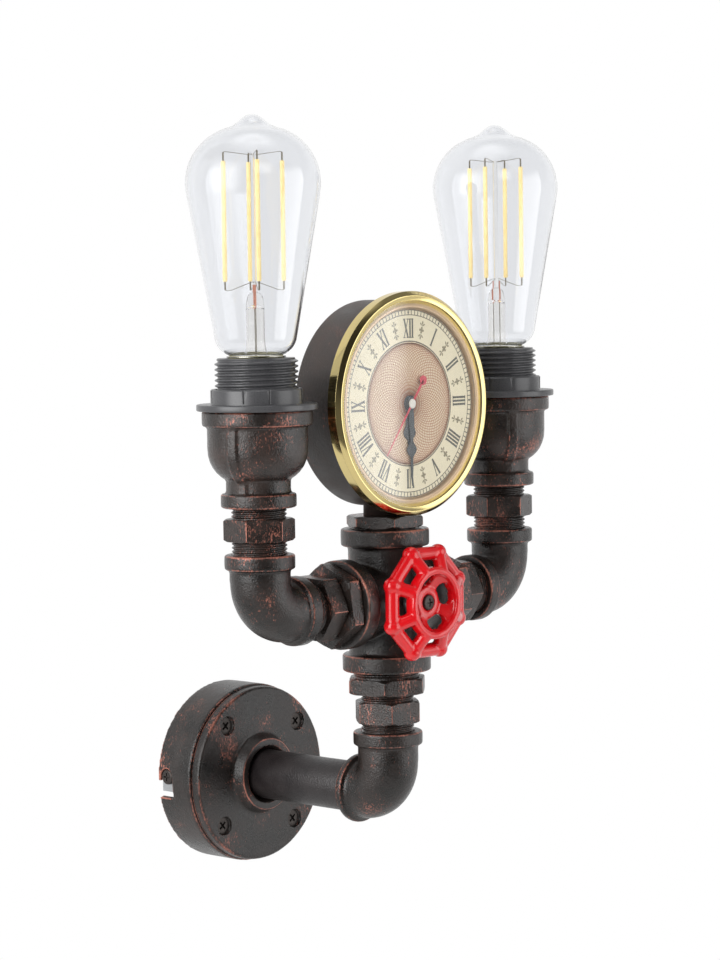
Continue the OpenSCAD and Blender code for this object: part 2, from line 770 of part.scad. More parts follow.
module flange_screws() {
    head = flange_head_d / 2 - thread_gap;
    end_z = head_sink - flange_t - cup_wall - boss_h;
    point = 1;
    color("#3a3634") forward() translate([0, 0, flange_front - head_sink])
        flange_screw_places(0) difference() {
            rotate_extrude() polygon([[0, 0], [head, 0], [flange_screw_r, flange_screw_r - head],
                [flange_screw_r, end_z], [0, end_z - point]]);
            cross_recess(flange_head_d * cross_share, flange_cross_depth);
        }
}

// Arm and pipe fittings

module arm_pipe() {
    length = arm_reach - low_back + engage - cup_depth;
    color(iron) forward() translate([0, 0, cup_depth])
        tube(pipe_r, pipe_bore / 2, length);
}

// Straight leg of a fitting from z start to z end, with its band at the end
module leg(start, end, body_r, band_r, band_w) {
    band_z = end - band_w;
    rotate_extrude() polygon(concat([[0, start], [body_r, start]],
        arc([body_r + band_fillet, band_z - band_fillet], band_fillet, 180, 90, 4),
        arc([band_r - band_round, band_z + band_round], band_round, -90, 0, 4),
        arc([band_r - band_round, end - band_round], band_round, 0, 90, 4), [[0, end]]));
}

// Quarter bend from the +X leg to the +Z leg
module bend(bend_r, r) {
    translate([bend_r, 0, bend_r]) rotate([90, 0, 0]) rotate([0, 0, 180])
        rotate_extrude(angle = 90) translate([bend_r, 0]) circle(r = r);
}

// Elbow with its legs along +X and +Z. Each leg has [length, band width, radius of what screws in].
module elbow(bend_r, body_r, band_r, x_leg, z_leg) {
    step = 0.15;
    difference() {
        union() {
            bend(bend_r, body_r);
            leg(bend_r, z_leg[0], body_r + step, band_r, z_leg[1]);
            rotate([0, 90, 0]) leg(bend_r, x_leg[0], body_r + step, band_r, x_leg[1]);
        }
        bend(bend_r, elbow_way_d / 2);
        for (leg = [x_leg, z_leg]) rotate([0, leg == x_leg ? 90 : 0, 0]) {
            translate([0, 0, bend_r - step]) cylinder(r = elbow_way_d / 2 + step, h = leg[0]);
            translate([0, 0, leg[0] - engage]) cylinder(r = leg[2] + thread_gap, h = engage + eps);
        }
    }
}

module lower_elbow() {
    color(iron) translate([0, -arm_reach, 0]) rotate(90)
        elbow(low_bend, low_body_d / 2, low_band_d / 2, [low_back, low_back_band_w, pipe_r],
            [low_up, low_up_band_w, thread_r]);
}

module side_elbow(side) {
    color(iron) at_side(side, lamp_x, cross_z)
        elbow(side_bend, side_body_d / 2, side_band_d / 2, [side_in, side_band_w, thread_r],
            [side_up, side_band_w, thread_r]);
}

module left_elbow() { side_elbow(-1); }
module right_elbow() { side_elbow(1); }

// Hexagon nipple with its hexagon on z 0 and a thread of the given length at each end
module nipple(below, above, turn) {
    color(iron) difference() {
        union() {
            rotate(turn) hexagon(nipple_af, nipple_hex_h);
            translate([0, 0, -below]) cylinder(r = thread_r, h = below + nipple_hex_h + above);
        }
        translate([0, 0, -below - eps])
            cylinder(d = nipple_bore, h = below + nipple_hex_h + above + 2 * eps);
    }
}

// Reducing bushing with its hexagon on z 0 and its large thread above
module bushing(thread, turn) {
    end_z = bushing_hex_h + thread + engage;
    color(iron) difference() {
        union() {
            rotate(turn) hexagon(bushing_af, bushing_hex_h);
            translate([0, 0, bushing_hex_h / 2]) cylinder(r = big_thread_r, h = end_z - bushing_hex_h / 2);
        }
        translate([0, 0, -eps]) cylinder(r = thread_r + thread_gap, h = end_z + 2 * eps);
    }
}

module lower_nipple() {
    translate([0, -arm_reach, low_nipple_z])
        nipple(low_thread + engage, mid_thread + engage, low_nipple_turn);
}

module lower_bushing() {
    translate([0, -arm_reach, low_bushing_z]) bushing(bushing_thread, low_bushing_turn);
}

module side_bushing(side) {
    at_side(side, side_bushing_x + bushing_hex_h, cross_z) rotate([0, 90, 0])
        bushing(side_bushing_thread, side_bushing_turn);
}

module left_bushing() { side_bushing(-1); }
module right_bushing() { side_bushing(1); }

module side_nipple(side) {
    at_side(side, side_nipple_x + nipple_hex_h, cross_z) rotate([0, 90, 0])
        nipple(side_thread + engage, side_nipple_thread + engage, side_nipple_turn);
}

module left_nipple() { side_nipple(-1); }
module right_nipple() { side_nipple(1); }

module riser(side, turn) {
    at_side(side, lamp_x, riser_z) nipple(riser_thread + engage, bell_thread + engage, turn);
}

module left_riser() { riser(-1, left_riser_turn); }
module right_riser() { riser(1, right_riser_turn); }

module cross_fitting() {
    way = cross_way_d / 2;
    middle_step = 0.6;
    color(iron) translate([0, -arm_reach, cross_z]) difference() {
        union() {
            sphere(d = cross_swell_d);
            for (turn = [0:90:270]) rotate([0, turn, 0])
                leg(0, cross_half, cross_body_d / 2, cross_band_d / 2, cross_band_w);
        }
        sphere(r = way + middle_step);
        for (turn = [0:90:270]) rotate([0, turn, 0]) {
            cylinder(r = way, h = cross_half);
            translate([0, 0, cross_half - engage - slide_gap])
                cylinder(r = big_thread_r + thread_gap, h = engage + slide_gap + eps);
        }
        forward() {
            cylinder(r = gland_d / 2 + thread_gap, h = cross_swell_d);
            translate([0, 0, swell_front]) cylinder(r = cross_body_d / 2, h = cross_swell_d);
        }
    }
}

module top_plug() {
    color(iron) translate([0, -arm_reach, plug_z]) difference() {
        union() {
            rotate(plug_turn) hexagon(plug_af, plug_hex_h);
            translate([0, 0, -plug_thread - engage])
                tube(big_thread_r, thread_r, plug_thread + engage + eps);
        }
        translate([0, 0, -eps]) cylinder(r = bolt_d / 2 + thread_gap, h = plug_hex_h + 2 * eps);
    }
}

// Bells and lamp holders

// Outside of a bell from its neck up to its rim, grown outward for the ribs
function bell_side(grow) = let (neck = bell_neck_d / 2 + grow, body = bell_body_d / 2 + grow,
    low = bell_neck_z - grow, tall = bell_shoulder_h + grow, first = sin(shoulder_start))
    concat([[neck, bell_band_h], [neck, low]],
        [for (i = [1:6]) let (a = shoulder_start + (90 - shoulder_start) * i / 6)
            [neck + (body - neck) * (sin(a) - first) / (1 - first),
            low + tall * (1 - cos(a) / cos(shoulder_start))]],
        [[body, bell_rim_z]]);

module bell(turn) {
    color(iron) difference() {
        union() {
            rotate_extrude() polygon(concat([[0, 0]],
                arc([bell_band_d / 2 - band_round, band_round], band_round, -90, 0, 4),
                arc([bell_band_d / 2 - band_round, bell_band_h - band_round], band_round, 0, 90, 4),
                bell_side(0),
                arc([bell_rim_d / 2 - band_round, bell_rim_z + band_round], band_round, -90, 0, 4),
                arc([bell_rim_d / 2 - band_round, bell_h - band_round], band_round, 0, 90, 4),
                [[0, bell_h]]));
            rotate(turn) intersection() {
                rotate_extrude()
                    polygon(concat([[0, bell_band_h]], bell_side(rib_rise), [[0, bell_rim_z]]));
                translate([-bell_body_d, -rib_w / 2, bell_band_h / 2])
                    cube([2 * bell_body_d, rib_w, bell_rim_z - bell_band_h / 2]);
            }
        }
        translate([0, 0, -eps]) cylinder(r = thread_r + thread_gap, h = engage + eps);
        cylinder(d = bell_way_d, h = bell_h);
        translate([0, 0, ledge_z]) cylinder(r = holder_d / 2 + slide_gap, h = bell_h);
    }
}

module left_bell() { at_side(-1, lamp_x, bell_z) bell(left_rib_turn); }
module right_bell() { at_side(1, lamp_x, bell_z) bell(right_rib_turn); }

module holder() {
    mouth = 1;
    color(black_plastic) difference() {
        translate([0, 0, -holder_h]) cylinder(d = holder_d, h = holder_h);
        translate([0, 0, floor_z]) cylinder(d = holder_bore, h = -floor_z + eps);
        translate([0, 0, -mouth])
            cylinder(r1 = holder_bore / 2, r2 = holder_bore / 2 + 2 * mouth, h = 2 * mouth);
        translate([0, 0, -holder_h - eps])
            cylinder(d = holder_under_d, h = holder_h + under_z + eps);
    }
}

module left_holder() { at_side(-1, lamp_x, holder_top) holder(); }
module right_holder() { at_side(1, lamp_x, holder_top) holder(); }

module holder_ring() {
    edge = 0.6;
    bore = holder_d / 2 + slide_gap;
    top = ring_flange_t + ring_collar_h;
    color(black_plastic) translate([0, 0, -holder_stand]) difference() {
        rotate_extrude() polygon(concat([[bore, 0]],
            arc([ring_flange_r - edge, edge], edge, -90, 0, 3),
            arc([ring_flange_r - edge, ring_flange_t - edge], edge, 0, 90, 3),
            [[ring_collar_r, ring_flange_t], [ring_collar_r, top - edge], [ring_collar_r - edge, top],
            [bore, top]]));
        for (i = [1:ring_grips], side = [-1, 1]) rotate((i + 0.5) * 360 / ring_grips + side * grip_angle / 2)
            translate([ring_collar_r, 0, ring_flange_t + edge]) cylinder(d = groove_d, h = ring_collar_h);
    }
}

module left_holder_ring() { at_side(-1, lamp_x, holder_top) holder_ring(); }
module right_holder_ring() { at_side(1, lamp_x, holder_top) holder_ring(); }

module screw_shell() {
    outer = holder_bore / 2 - thread_gap;
    inner = outer - shell_t;
    lip = outer * 0.7;
    color(nickel) rotate_extrude() polygon([[lip, floor_z], [outer, floor_z], [outer, -shell_drop],
        [inner, -shell_drop], [inner, floor_z + shell_t], [lip, floor_z + shell_t]]);
}

module left_screw_shell() { at_side(-1, lamp_x, holder_top) screw_shell(); }
module right_screw_shell() { at_side(1, lamp_x, holder_top) screw_shell(); }

// Spring tongue with a domed touch point under the bulb's contact
module contact() {
    blade = 0.6;
    color(brass) translate([0, 0, floor_z]) {
        translate([-button_d / 2, -button_d / 4, 0]) cube([button_d, button_d / 2, blade]);
        rotate_extrude() polygon([[0, 0], [button_d / 3, 0], [button_d / 3, blade],
            [button_d / 5, contact_h], [0, contact_h]]);
    }
}

module left_contact() { at_side(-1, lamp_x, holder_top) contact(); }
module right_contact() { at_side(1, lamp_x, holder_top) contact(); }

// Bulbs

// Outside of the glass, or its inside when drawn in by the wall
function glass_curve(draw_in, end) = let (r = foot_r - draw_in)
    concat(arc(foot_c, r, -acos((glass_neck_d / 2 - draw_in - foot_x) / r), -glass_slope, 5),
        arc(dome_c, dome_r - draw_in, -glass_slope, end, 10));

module bulb_glass() {
    neck = glass_neck_d / 2;
    tip = arc([0, bulb_stand - tip_r], tip_r, 35, 90, 4);
    dome_edge = dome_c + dome_r * [cos(dome_end), sin(dome_end)];
    tip_hollow = dome_edge * 0.6 + tip[0] * 0.4 - [0, 0.5];
    inner_end = -glass_neck_len - eps;
    color([0.9, 0.95, 1, 0.35]) rotate_extrude() difference() {
        polygon(concat([[0, -glass_neck_len], [neck, -glass_neck_len]], glass_curve(0, dome_end),
            [tip_hollow], tip));
        polygon(concat([[-eps, inner_end], [neck - glass_t, inner_end]], glass_curve(glass_t, 90),
            [[-eps, dome_c[1] + dome_r - glass_t]]));
    }
}

module left_bulb_glass() { at_side(-1, lamp_x, holder_top) bulb_glass(); }
module right_bulb_glass() { at_side(1, lamp_x, holder_top) bulb_glass(); }

module bulb_cap() {
    r = cap_d / 2;
    rim = cap_rim_d / 2;
    rim_t = 0.5;
    bore = glass_neck_d / 2 + thread_gap;
    button_top = 1.5 - cap_depth;
    cone_top = button_top + 5;
    floor_top = cone_top + rim_t;
    color(nickel) rotate_extrude() polygon([[0, -cap_depth], [button_d / 2, -cap_depth],
        [button_d / 2, button_top], [r - 2, cone_top - 1.5], [r, cone_top], [r, cap_rim_z - rim_t],
        [rim, cap_rim_z - rim_t], [rim, cap_rim_z], [bore, cap_rim_z], [bore, floor_top], [0, floor_top]]);
}

module left_bulb_cap() { at_side(-1, lamp_x, holder_top) bulb_cap(); }
module right_bulb_cap() { at_side(1, lamp_x, holder_top) bulb_cap(); }

// Hollow glass stem flared out to the neck, with the rod that carries the light sticks
module bulb_stem() {
    flare = glass_neck_d / 2 - glass_t - thread_gap;
    flare_z = -glass_neck_len + 2;
    wall = 0.8;
    tube_r = stem_d / 2;
    throat_r = tube_r + 3 * wall;
    throat_z = flare_z + 8;
    tube_z = flare_z + 17;
    press_low = press_z - 5;
    color([0.85, 0.92, 1, 0.5]) rotate_extrude() polygon([[flare, flare_z], [flare, flare_z + wall],
        [throat_r, throat_z], [tube_r, tube_z], [tube_r, press_low], [tube_r - 1.5 * wall, press_z - wall],
        [rod_d / 2, press_z], [rod_d / 2, rod_top], [0, rod_top], [0, press_low - 2 * wall],
        [tube_r - wall, press_low - 3 * wall], [tube_r - wall, tube_z], [throat_r - wall, throat_z],
        [flare - 2, flare_z]]);
}

module left_bulb_stem() { at_side(-1, lamp_x, holder_top) bulb_stem(); }
module right_bulb_stem() { at_side(1, lamp_x, holder_top) bulb_stem(); }

// Straight wire between two points in the XZ plane
module wire(a, b) {
    run = b - a;
    translate([a[0], 0, a[1]]) rotate([0, atan2(run[0], run[1]), 0])
        cylinder(d = wire_d, h = norm(run), $fn = 24);
}

module bulb_sticks(turn) {
    inner = rod_d / 2 + slide_gap;
    color("#ffe9a0") for (i = [1:sticks]) rotate(turn + i * 360 / sticks) {
        translate([stick_ring, 0, stick_low])
            cylinder(d = stick_d, h = stick_high - stick_low, $fn = 24);
        wire([inner, press_z + wire_d], [stick_ring, stick_low + wire_d]);
        wire([inner, rod_top - wire_d], [stick_ring, stick_high - wire_d]);
    }
}

module left_bulb_sticks() { at_side(-1, lamp_x, holder_top) bulb_sticks(left_stick_turn); }
module right_bulb_sticks() { at_side(1, lamp_x, holder_top) bulb_sticks(right_stick_turn); }

// Clock

module clock_drum() {
    edge = 1.5;
    floor_front = drum_wall - drum_back;
    pad_z = drum_in - pad_rise;
    pad_d = bolt_af / cos(30) + 1;
    foot_start = drum_in + drum_wall / 2;
    foot_end = stack_r + foot_h;
    color("#3a3130") at_clock() difference() {
        union() {
            rotate_extrude() polygon(concat([[0, -drum_back]],
                arc([stack_r - edge, edge - drum_back], edge, -90, 0, 4),
                [[stack_r, drum_front], [drum_in, drum_front], [drum_in, floor_front], [0, floor_front]]));
            rotate([90, 0, 0]) {
                translate([0, 0, pad_z]) cylinder(d = pad_d, h = foot_end - pad_z);
                difference() {
                    cylinder(d = drum_foot_d, h = foot_end);
                    rotate([-90, 0, 0]) translate([0, 0, -stack_r]) cylinder(r = foot_start, h = drum_d);
                }
            }
        }
        rotate([90, 0, 0]) translate([0, 0, pad_z - eps])
            cylinder(r = bolt_d / 2 + thread_gap, h = foot_end - pad_z + 2 * eps);
    }
}

// Hollow bolt that clamps the drum's foot to the top plug from inside the drum
module drum_bolt() {
    pad_top = foot_z + foot_h + drum_wall + pad_rise;
    spare = 2;
    end_z = plug_z - nut_h - spare;
    color(zinc) translate([0, -arm_reach, 0]) difference() {
        union() {
            translate([0, 0, pad_top]) hexagon(bolt_af, bolt_head_h);
            translate([0, 0, end_z]) cylinder(d = bolt_d, h = pad_top + eps - end_z);
        }
        translate([0, 0, end_z - eps])
            cylinder(d = bolt_bore, h = pad_top + bolt_head_h - end_z + 2 * eps);
    }
}

module drum_nut() {
    color(zinc) translate([0, -arm_reach, plug_z - nut_h]) difference() {
        hexagon(bolt_af, nut_h);
        translate([0, 0, -eps]) cylinder(r = bolt_d / 2 + thread_gap, h = nut_h + 2 * eps);
    }
}

// Insert case: a flange under the dial, and a short cup in the drum, open for the movement
module clock_case() {
    window = movement_w + 2 * slide_gap;
    seat = stack_r - thread_gap;
    inner = case_r - case_wall;
    floor_top = case_back + case_wall;
    color("#4a4440") at_clock() difference() {
        rotate_extrude() polygon([[0, case_back], [case_r, case_back], [case_r, drum_front],
            [seat, drum_front], [seat, dial_back], [inner, dial_back], [inner, floor_top], [0, floor_top]]);
        translate([-window / 2, -window / 2, case_back - eps])
            cube([window, window, case_wall + 2 * eps]);
    }
}

module case_gasket() {
    color("#222222") at_clock() translate([0, 0, drum_front - gasket_w - 2 * slide_gap])
        tube(drum_in - slide_gap, case_r + turn_gap, gasket_w);
}

module movement_box() {
    half = movement_w / 2 - movement_round;
    bush_h = dial_t + hand_gap / 2;
    bay = battery_d + 2 * slide_gap;
    color("#2a2a2c") at_clock() difference() {
        union() {
            translate([0, 0, movement_back]) linear_extrude(movement_depth)
                polygon([for (turn = [0:90:270]) each arc(half * sqrt(2) * [cos(turn + 45), sin(turn + 45)],
                    movement_round, turn, turn + 90, 3)]);
            translate([0, 0, dial_back - eps]) cylinder(d = bush_d, h = bush_h + eps);
        }
        translate([-battery_len / 2 - slide_gap, -battery_drop - bay / 2, movement_back - eps])
            cube([battery_len + 2 * slide_gap, bay, bay + eps]);
        translate([0, 0, movement_back - eps])
            cylinder(r = minute_arbor_d / 2 + turn_gap, h = movement_depth + bush_h + 2 * eps);
        translate([0, 0, dial_back - movement_depth / 2])
            cylinder(r = hour_pipe_d / 2 + turn_gap, h = movement_depth / 2 + bush_h + eps);
    }
}

module battery() {
    nub_h = 1.8;
    nub_d = battery_d * 0.38;
    color("#7a7468") at_clock()
        translate([-battery_len / 2, -battery_drop, movement_back + slide_gap + battery_d / 2])
            rotate([0, 90, 0]) {
                cylinder(d = battery_d, h = battery_len - nub_h);
                cylinder(d = nub_d, h = battery_len);
            }
}

module dial_plate() {
    color("#efe3bd") at_clock() translate([0, 0, dial_back])
        tube(stack_r - thread_gap, bush_d / 2 + thread_gap, dial_t);
}

// Sloping ring that keeps the lens off the dial
module dial_ring() {
    outer = stack_r - thread_gap;
    color(brass) at_clock() rotate_extrude() polygon([[outer - dial_ring_w, dial_front],
        [outer, dial_front], [outer, lens_back], [outer - lens_lip, lens_back]]);
}

module bezel() {
    edge = 0.6;
    ease = 0.25;
    lip = stack_r - lens_lip;
    rim = lip + bezel_rim_w;
    outer = bezel_r - edge;
    hollow = bezel_hollow / 2;
    color(brass) at_clock() rotate_extrude() polygon(concat([[stack_r, drum_front], [bezel_r, drum_front]],
        arc([outer, bezel_front - hollow - edge], edge, 0, 90, 4),
        [for (t = [0.1:0.2:0.9]) [outer + (rim - outer) * t, bezel_front - hollow * (1 + sin(180 * t))]],
        [[rim, bezel_front - ease], [rim - ease, bezel_front], [lip, bezel_front], [lip, lens_front],
        [stack_r, lens_front]]));
}

module lens() {
    color([0.9, 0.95, 1, 0.3]) at_clock() translate([0, 0, lens_back])
        cylinder(r = stack_r - thread_gap, h = lens_t);
}

// Outline of a spade hand that points up, with its bulge at the given height
module spade(length, bulge, width, root) {
    neck = width * 0.22;
    right = [[root / 2, 0], [root / 2, bulge / 2], [width / 2, bulge], [neck, bulge * 1.25], [0, length]];
    left = [for (i = [3:-1:0]) [-right[i][0], right[i][1]]];
    polygon(concat(right, left));
}

module hour_hand() {
    bore = minute_arbor_d / 2 + turn_gap;
    pipe_back = dial_back - movement_depth / 3;
    color("#2e3a3c") at_clock() difference() {
        union() {
            translate([0, 0, hour_front - hand_t]) rotate(-hour_angle) linear_extrude(hand_t) {
                circle(d = hour_w);
                spade(hour_len, hour_len * 0.68, hour_w, hour_w * 0.4);
            }
            translate([0, 0, pipe_back]) cylinder(d = hour_pipe_d, h = hour_front - pipe_back);
        }
        translate([0, 0, pipe_back - eps]) cylinder(r = bore, h = hour_front - pipe_back + 2 * eps);
    }
}

module minute_hand() {
    knob_end = movement_back + slide_gap;
    color("#2e3a3c") at_clock() difference() {
        union() {
            translate([0, 0, minute_front - hand_t]) rotate(-minute_angle) linear_extrude(hand_t) {
                circle(d = minute_w);
                spade(minute_len, minute_len * 0.58, minute_w, minute_w * 0.3);
            }
            translate([0, 0, knob_end]) cylinder(d = minute_arbor_d, h = minute_front - knob_end);
        }
        translate([0, 0, dial_back]) cylinder(r = second_pin_d / 2 + turn_gap, h = bezel_front);
    }
}

module second_hand() {
    bar = 0.9;
    pin_back = dial_back + slide_gap;
    color("#d43a4a") at_clock() {
        translate([0, 0, second_front - hand_t]) rotate(-second_angle) linear_extrude(hand_t) {
            translate([-bar / 2, -counter_x]) square([bar, counter_x + second_len]);
            translate([0, -counter_x]) circle(d = counter_d);
        }
        translate([0, 0, second_front - hand_t]) cylinder(d = second_cap_d, h = hand_t + second_cap_h);
        translate([0, 0, pin_back]) cylinder(d = second_pin_d, h = second_front - pin_back);
    }
}

module set_knob() {
    grips = 12;
    grip_d = 1.4;
    knob_front = movement_back - slide_gap;
    color("#e8e4da") at_clock() translate([0, 0, knob_front - knob_h]) difference() {
        union() {
            cylinder(d = knob_d, h = knob_h);
            cylinder(d = minute_arbor_d, h = knob_h + 2 * slide_gap);
        }
        for (i = [1:grips]) rotate(i * 360 / grips)
            translate([knob_d / 2, 0, -eps]) cylinder(d = grip_d, h = knob_h + 2 * eps);
    }
}

// Handwheel

module gland_nut() {
    color("#4a4340") at_wheel() difference() {
        union() {
            translate([0, 0, swell_front]) hexagon(gland_af, gland_hex_h);
            translate([0, 0, gland_back]) cylinder(d = gland_d, h = gland_len + eps);
        }
        translate([0, 0, gland_back - eps])
            cylinder(r = spindle_d / 2 + turn_gap, h = gland_len + gland_hex_h + 2 * eps);
    }
}

module spindle() {
    hole = wheel_screw_d / 2 + thread_gap;
    color(zinc) at_wheel() difference() {
        union() {
            translate([0, 0, spindle_back]) cylinder(d = spindle_d, h = spindle_end - spindle_back);
            translate([0, 0, gland_back - slide_gap - collar_w])
                cylinder(d = collar_d, h = collar_w);
        }
        translate([0, 0, swell_front]) cylinder(r = hole, h = spindle_end);
    }
}

// Point at a distance and angle from the wheel's axis
function round_wheel(r, a, z) = [r * cos(a), r * sin(a), z];

// Round bar between two points
module bar(a, b, d) {
    run = b - a;
    translate(a) rotate([0, acos(run[2] / norm(run)), atan2(run[1], run[0])])
        cylinder(d = d, h = norm(run));
}

module handwheel() {
    step = 360 / wheel_sides;
    corner_r = wheel_d / 2;
    ring_r = (inner_ring_d + inner_ring_bore) / 4;
    ring_half = (inner_ring_d - inner_ring_bore) / 4;
    ring_deep = inner_ring_depth / 2;
    spoke_rise = atan2(wheel_dish, corner_r - ring_r);
    web_in = wheel_hub_d / 2 - web_root;
    web_low = wheel_back + web_lift;
    web_r = (wheel_hub_d + inner_ring_bore) / 4;
    edge = 0.6;
    recess_r = wheel_head_d / 2 + 2 * slide_gap;
    color("#d8171f") at_wheel() difference() {
        union() {
            for (i = [1:wheel_sides]) {
                a = (i - 0.5) * step;
                corner = round_wheel(corner_r, a, rim_front);
                translate(corner) rotate([90, 180 + spoke_rise, a]) sphere(d = wheel_knob_d);
                bar(corner, round_wheel(corner_r, a + step, rim_front), rim_d);
                bar(corner, round_wheel(ring_r, a, ring_mid), spoke_d);
            }
            translate([0, 0, ring_mid]) rotate_extrude() translate([ring_r, 0])
                polygon(concat(arc([ring_half - edge, ring_deep - edge], edge, 0, 90, 3),
                    arc([edge - ring_half, ring_deep - edge], edge, 90, 180, 3),
                    arc([edge - ring_half, edge - ring_deep], edge, 180, 270, 3),
                    arc([ring_half - edge, edge - ring_deep], edge, 270, 360, 3)));
            translate([0, 0, wheel_back]) rotate_extrude() polygon(concat([[0, 0], [wheel_hub_d / 2, 0]],
                arc([wheel_hub_d / 2 - edge, wheel_hub_h - edge], edge, 0, 90, 3), [[0, wheel_hub_h]]));
            difference() {
                rotate_extrude() polygon([[web_in, web_low], [ring_r, ring_mid - web_t / 2],
                    [ring_r, ring_mid + web_t / 2], [web_in, web_low + web_t]]);
                for (i = [1:web_holes], end = [-1:1])
                    rotate(web_hole_turn + i * 360 / web_holes + end * web_hole_run / 2)
                        translate([web_r, 0, wheel_back])
                            cylinder(d = web_hole_w + (1 - abs(end)) * web_hole_swell, h = ring_mid + web_t);
            }
        }
        translate([0, 0, wheel_back - eps])
            cylinder(r = spindle_d / 2 + turn_gap, h = spindle_end - wheel_back + eps + turn_gap);
        translate([0, 0, wheel_back])
            cylinder(r = wheel_screw_d / 2 + thread_gap, h = wheel_hub_h + eps);
        translate([0, 0, wheel_front - head_recess]) cylinder(r = recess_r, h = head_recess + eps);
    }
}

module wheel_screw() {
    seat = wheel_front - head_recess;
    head = wheel_head_d / 2;
    r = wheel_screw_d / 2;
    edge = wheel_head_h / 3;
    tip = swell_front + 2 - seat;
    color("#2c2a2a") at_wheel() translate([0, 0, seat]) difference() {
        rotate_extrude() polygon(concat([[0, tip], [r, tip], [r, 0], [head, 0]],
            arc([head - edge, wheel_head_h - 1.5 * edge], edge, 0, 90, 4), [[0, wheel_head_h]]));
        translate([0, 0, wheel_head_h]) cross_recess(wheel_head_d * cross_share, wheel_head_h * 0.6);
    }
}

// Leads: swept along a route whose corners are rounded

function unit(v) = v / norm(v);
function round_corner(a, b, c, cut) = let (s = b + unit(a - b) * cut, e = b + unit(c - b) * cut)
    [for (i = [0:corner_steps]) let (t = i / corner_steps, u = 1 - t) s * u * u + b * 2 * t * u + e * t * t];
function rounded(route, cuts) = concat([route[0]],
    [for (i = [1:len(route) - 2]) each round_corner(route[i - 1], route[i], route[i + 1], cuts[i - 1])],
    [route[len(route) - 1]]);

// Route of one lead from the terminal block to the underside of its lamp holder
function lead_route(side) = let (x = side * lead_x, pole = side * terminal_len / 3, y = lead_gap - cup_floor,
    way = -bracket_t - terminal_h / 2, block = terminal_w / 2)
    [[pole, way, block], [pole, way, block + lead_loop], [x, y, block + lead_loop], [x, y, 0],
    [x, -arm_reach, 0], [x, -arm_reach, cross_z], [side * lamp_x, -arm_reach, cross_z],
    [side * lamp_x, -arm_reach, holder_top + under_z]];
lead_cuts = [4, 5, 5, 12, 12, 12];

module sweep(points, d) {
    lean = [1, 1, 0];
    n = len(points);
    m = lead_sides;
    last = (n - 1) * m;
    rings = [for (i = [0:n - 1]) let (t = unit(points[min(i + 1, n - 1)] - points[max(i - 1, 0)]),
        u = unit(cross(lean, t)), v = cross(t, u)) for (k = [0:m - 1])
        points[i] + d / 2 * (cos(k * 360 / m) * u + sin(k * 360 / m) * v)];
    walls = [for (i = [0:n - 2], k = [0:m - 1]) let (a = i * m + k, b = i * m + (k + 1) % m)
        each [[a, a + m, b], [b, a + m, b + m]]];
    ends = [for (k = [1:m - 2]) each [[0, k, k + 1], [last, last + k + 1, last + k]]];
    polyhedron(rings, concat(walls, ends));
}

module lead(side) {
    color("#d8d4c8") sweep(rounded(lead_route(side), lead_cuts), lead_d);
}

module left_lead() { lead(-1); }
module right_lead() { lead(1); }

wall_bracket();
bracket_screws();
terminal_block();
base_cup();
flange_plate();
flange_screws();
arm_pipe();
lower_elbow();
lower_nipple();
lower_bushing();
cross_fitting();
top_plug();
left_bushing();
right_bushing();
left_nipple();
right_nipple();
left_elbow();
right_elbow();
left_riser();
right_riser();
left_bell();
right_bell();
left_holder();
right_holder();
left_holder_ring();
right_holder_ring();
left_screw_shell();
right_screw_shell();
left_contact();
right_contact();
left_lead();
right_lead();
left_bulb_glass();
right_bulb_glass();
left_bulb_cap();
right_bulb_cap();
left_bulb_stem();
right_bulb_stem();
left_bulb_sticks();
right_bulb_sticks();
clock_drum();
drum_bolt();
drum_nut();
clock_case();
case_gasket();
movement_box();
battery();
dial_plate();
dial_ring();
bezel();
lens();
hour_hand();
minute_hand();
second_hand();
set_knob();
gland_nut();
spindle();
handwheel();
wheel_screw();
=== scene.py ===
import json
import math

import bmesh
import bpy
import numpy as np
from mathutils import Matrix, Vector
from mathutils.kdtree import KDTree

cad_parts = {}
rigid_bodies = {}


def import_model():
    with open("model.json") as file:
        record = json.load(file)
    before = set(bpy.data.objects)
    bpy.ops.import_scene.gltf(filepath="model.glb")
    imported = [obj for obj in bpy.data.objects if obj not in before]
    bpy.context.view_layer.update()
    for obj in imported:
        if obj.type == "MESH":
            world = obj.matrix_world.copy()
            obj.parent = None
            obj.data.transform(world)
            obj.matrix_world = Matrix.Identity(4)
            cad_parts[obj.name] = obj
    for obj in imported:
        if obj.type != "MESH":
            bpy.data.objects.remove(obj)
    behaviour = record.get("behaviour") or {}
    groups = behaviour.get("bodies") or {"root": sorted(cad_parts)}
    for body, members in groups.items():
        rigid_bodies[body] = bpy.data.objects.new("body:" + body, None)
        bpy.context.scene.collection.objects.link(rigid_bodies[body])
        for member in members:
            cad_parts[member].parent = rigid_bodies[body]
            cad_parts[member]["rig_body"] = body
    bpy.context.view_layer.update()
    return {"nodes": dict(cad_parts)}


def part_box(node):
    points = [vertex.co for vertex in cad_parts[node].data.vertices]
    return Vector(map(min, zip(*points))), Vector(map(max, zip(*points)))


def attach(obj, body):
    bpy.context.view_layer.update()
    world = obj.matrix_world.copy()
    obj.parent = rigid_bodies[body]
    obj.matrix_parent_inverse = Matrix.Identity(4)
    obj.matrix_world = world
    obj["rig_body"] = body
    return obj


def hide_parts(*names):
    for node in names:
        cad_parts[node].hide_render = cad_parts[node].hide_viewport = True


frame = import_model()
nodes = frame["nodes"]
scene = bpy.context.scene
scene.view_settings.view_transform = "Standard"
mm = 0.001


# Where the pipe run, the clock and the lamps stand, in millimetres, taken from the solids
def middle(node, axis):
    low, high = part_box(node)
    return (low[axis] + high[axis]) / 2 / mm


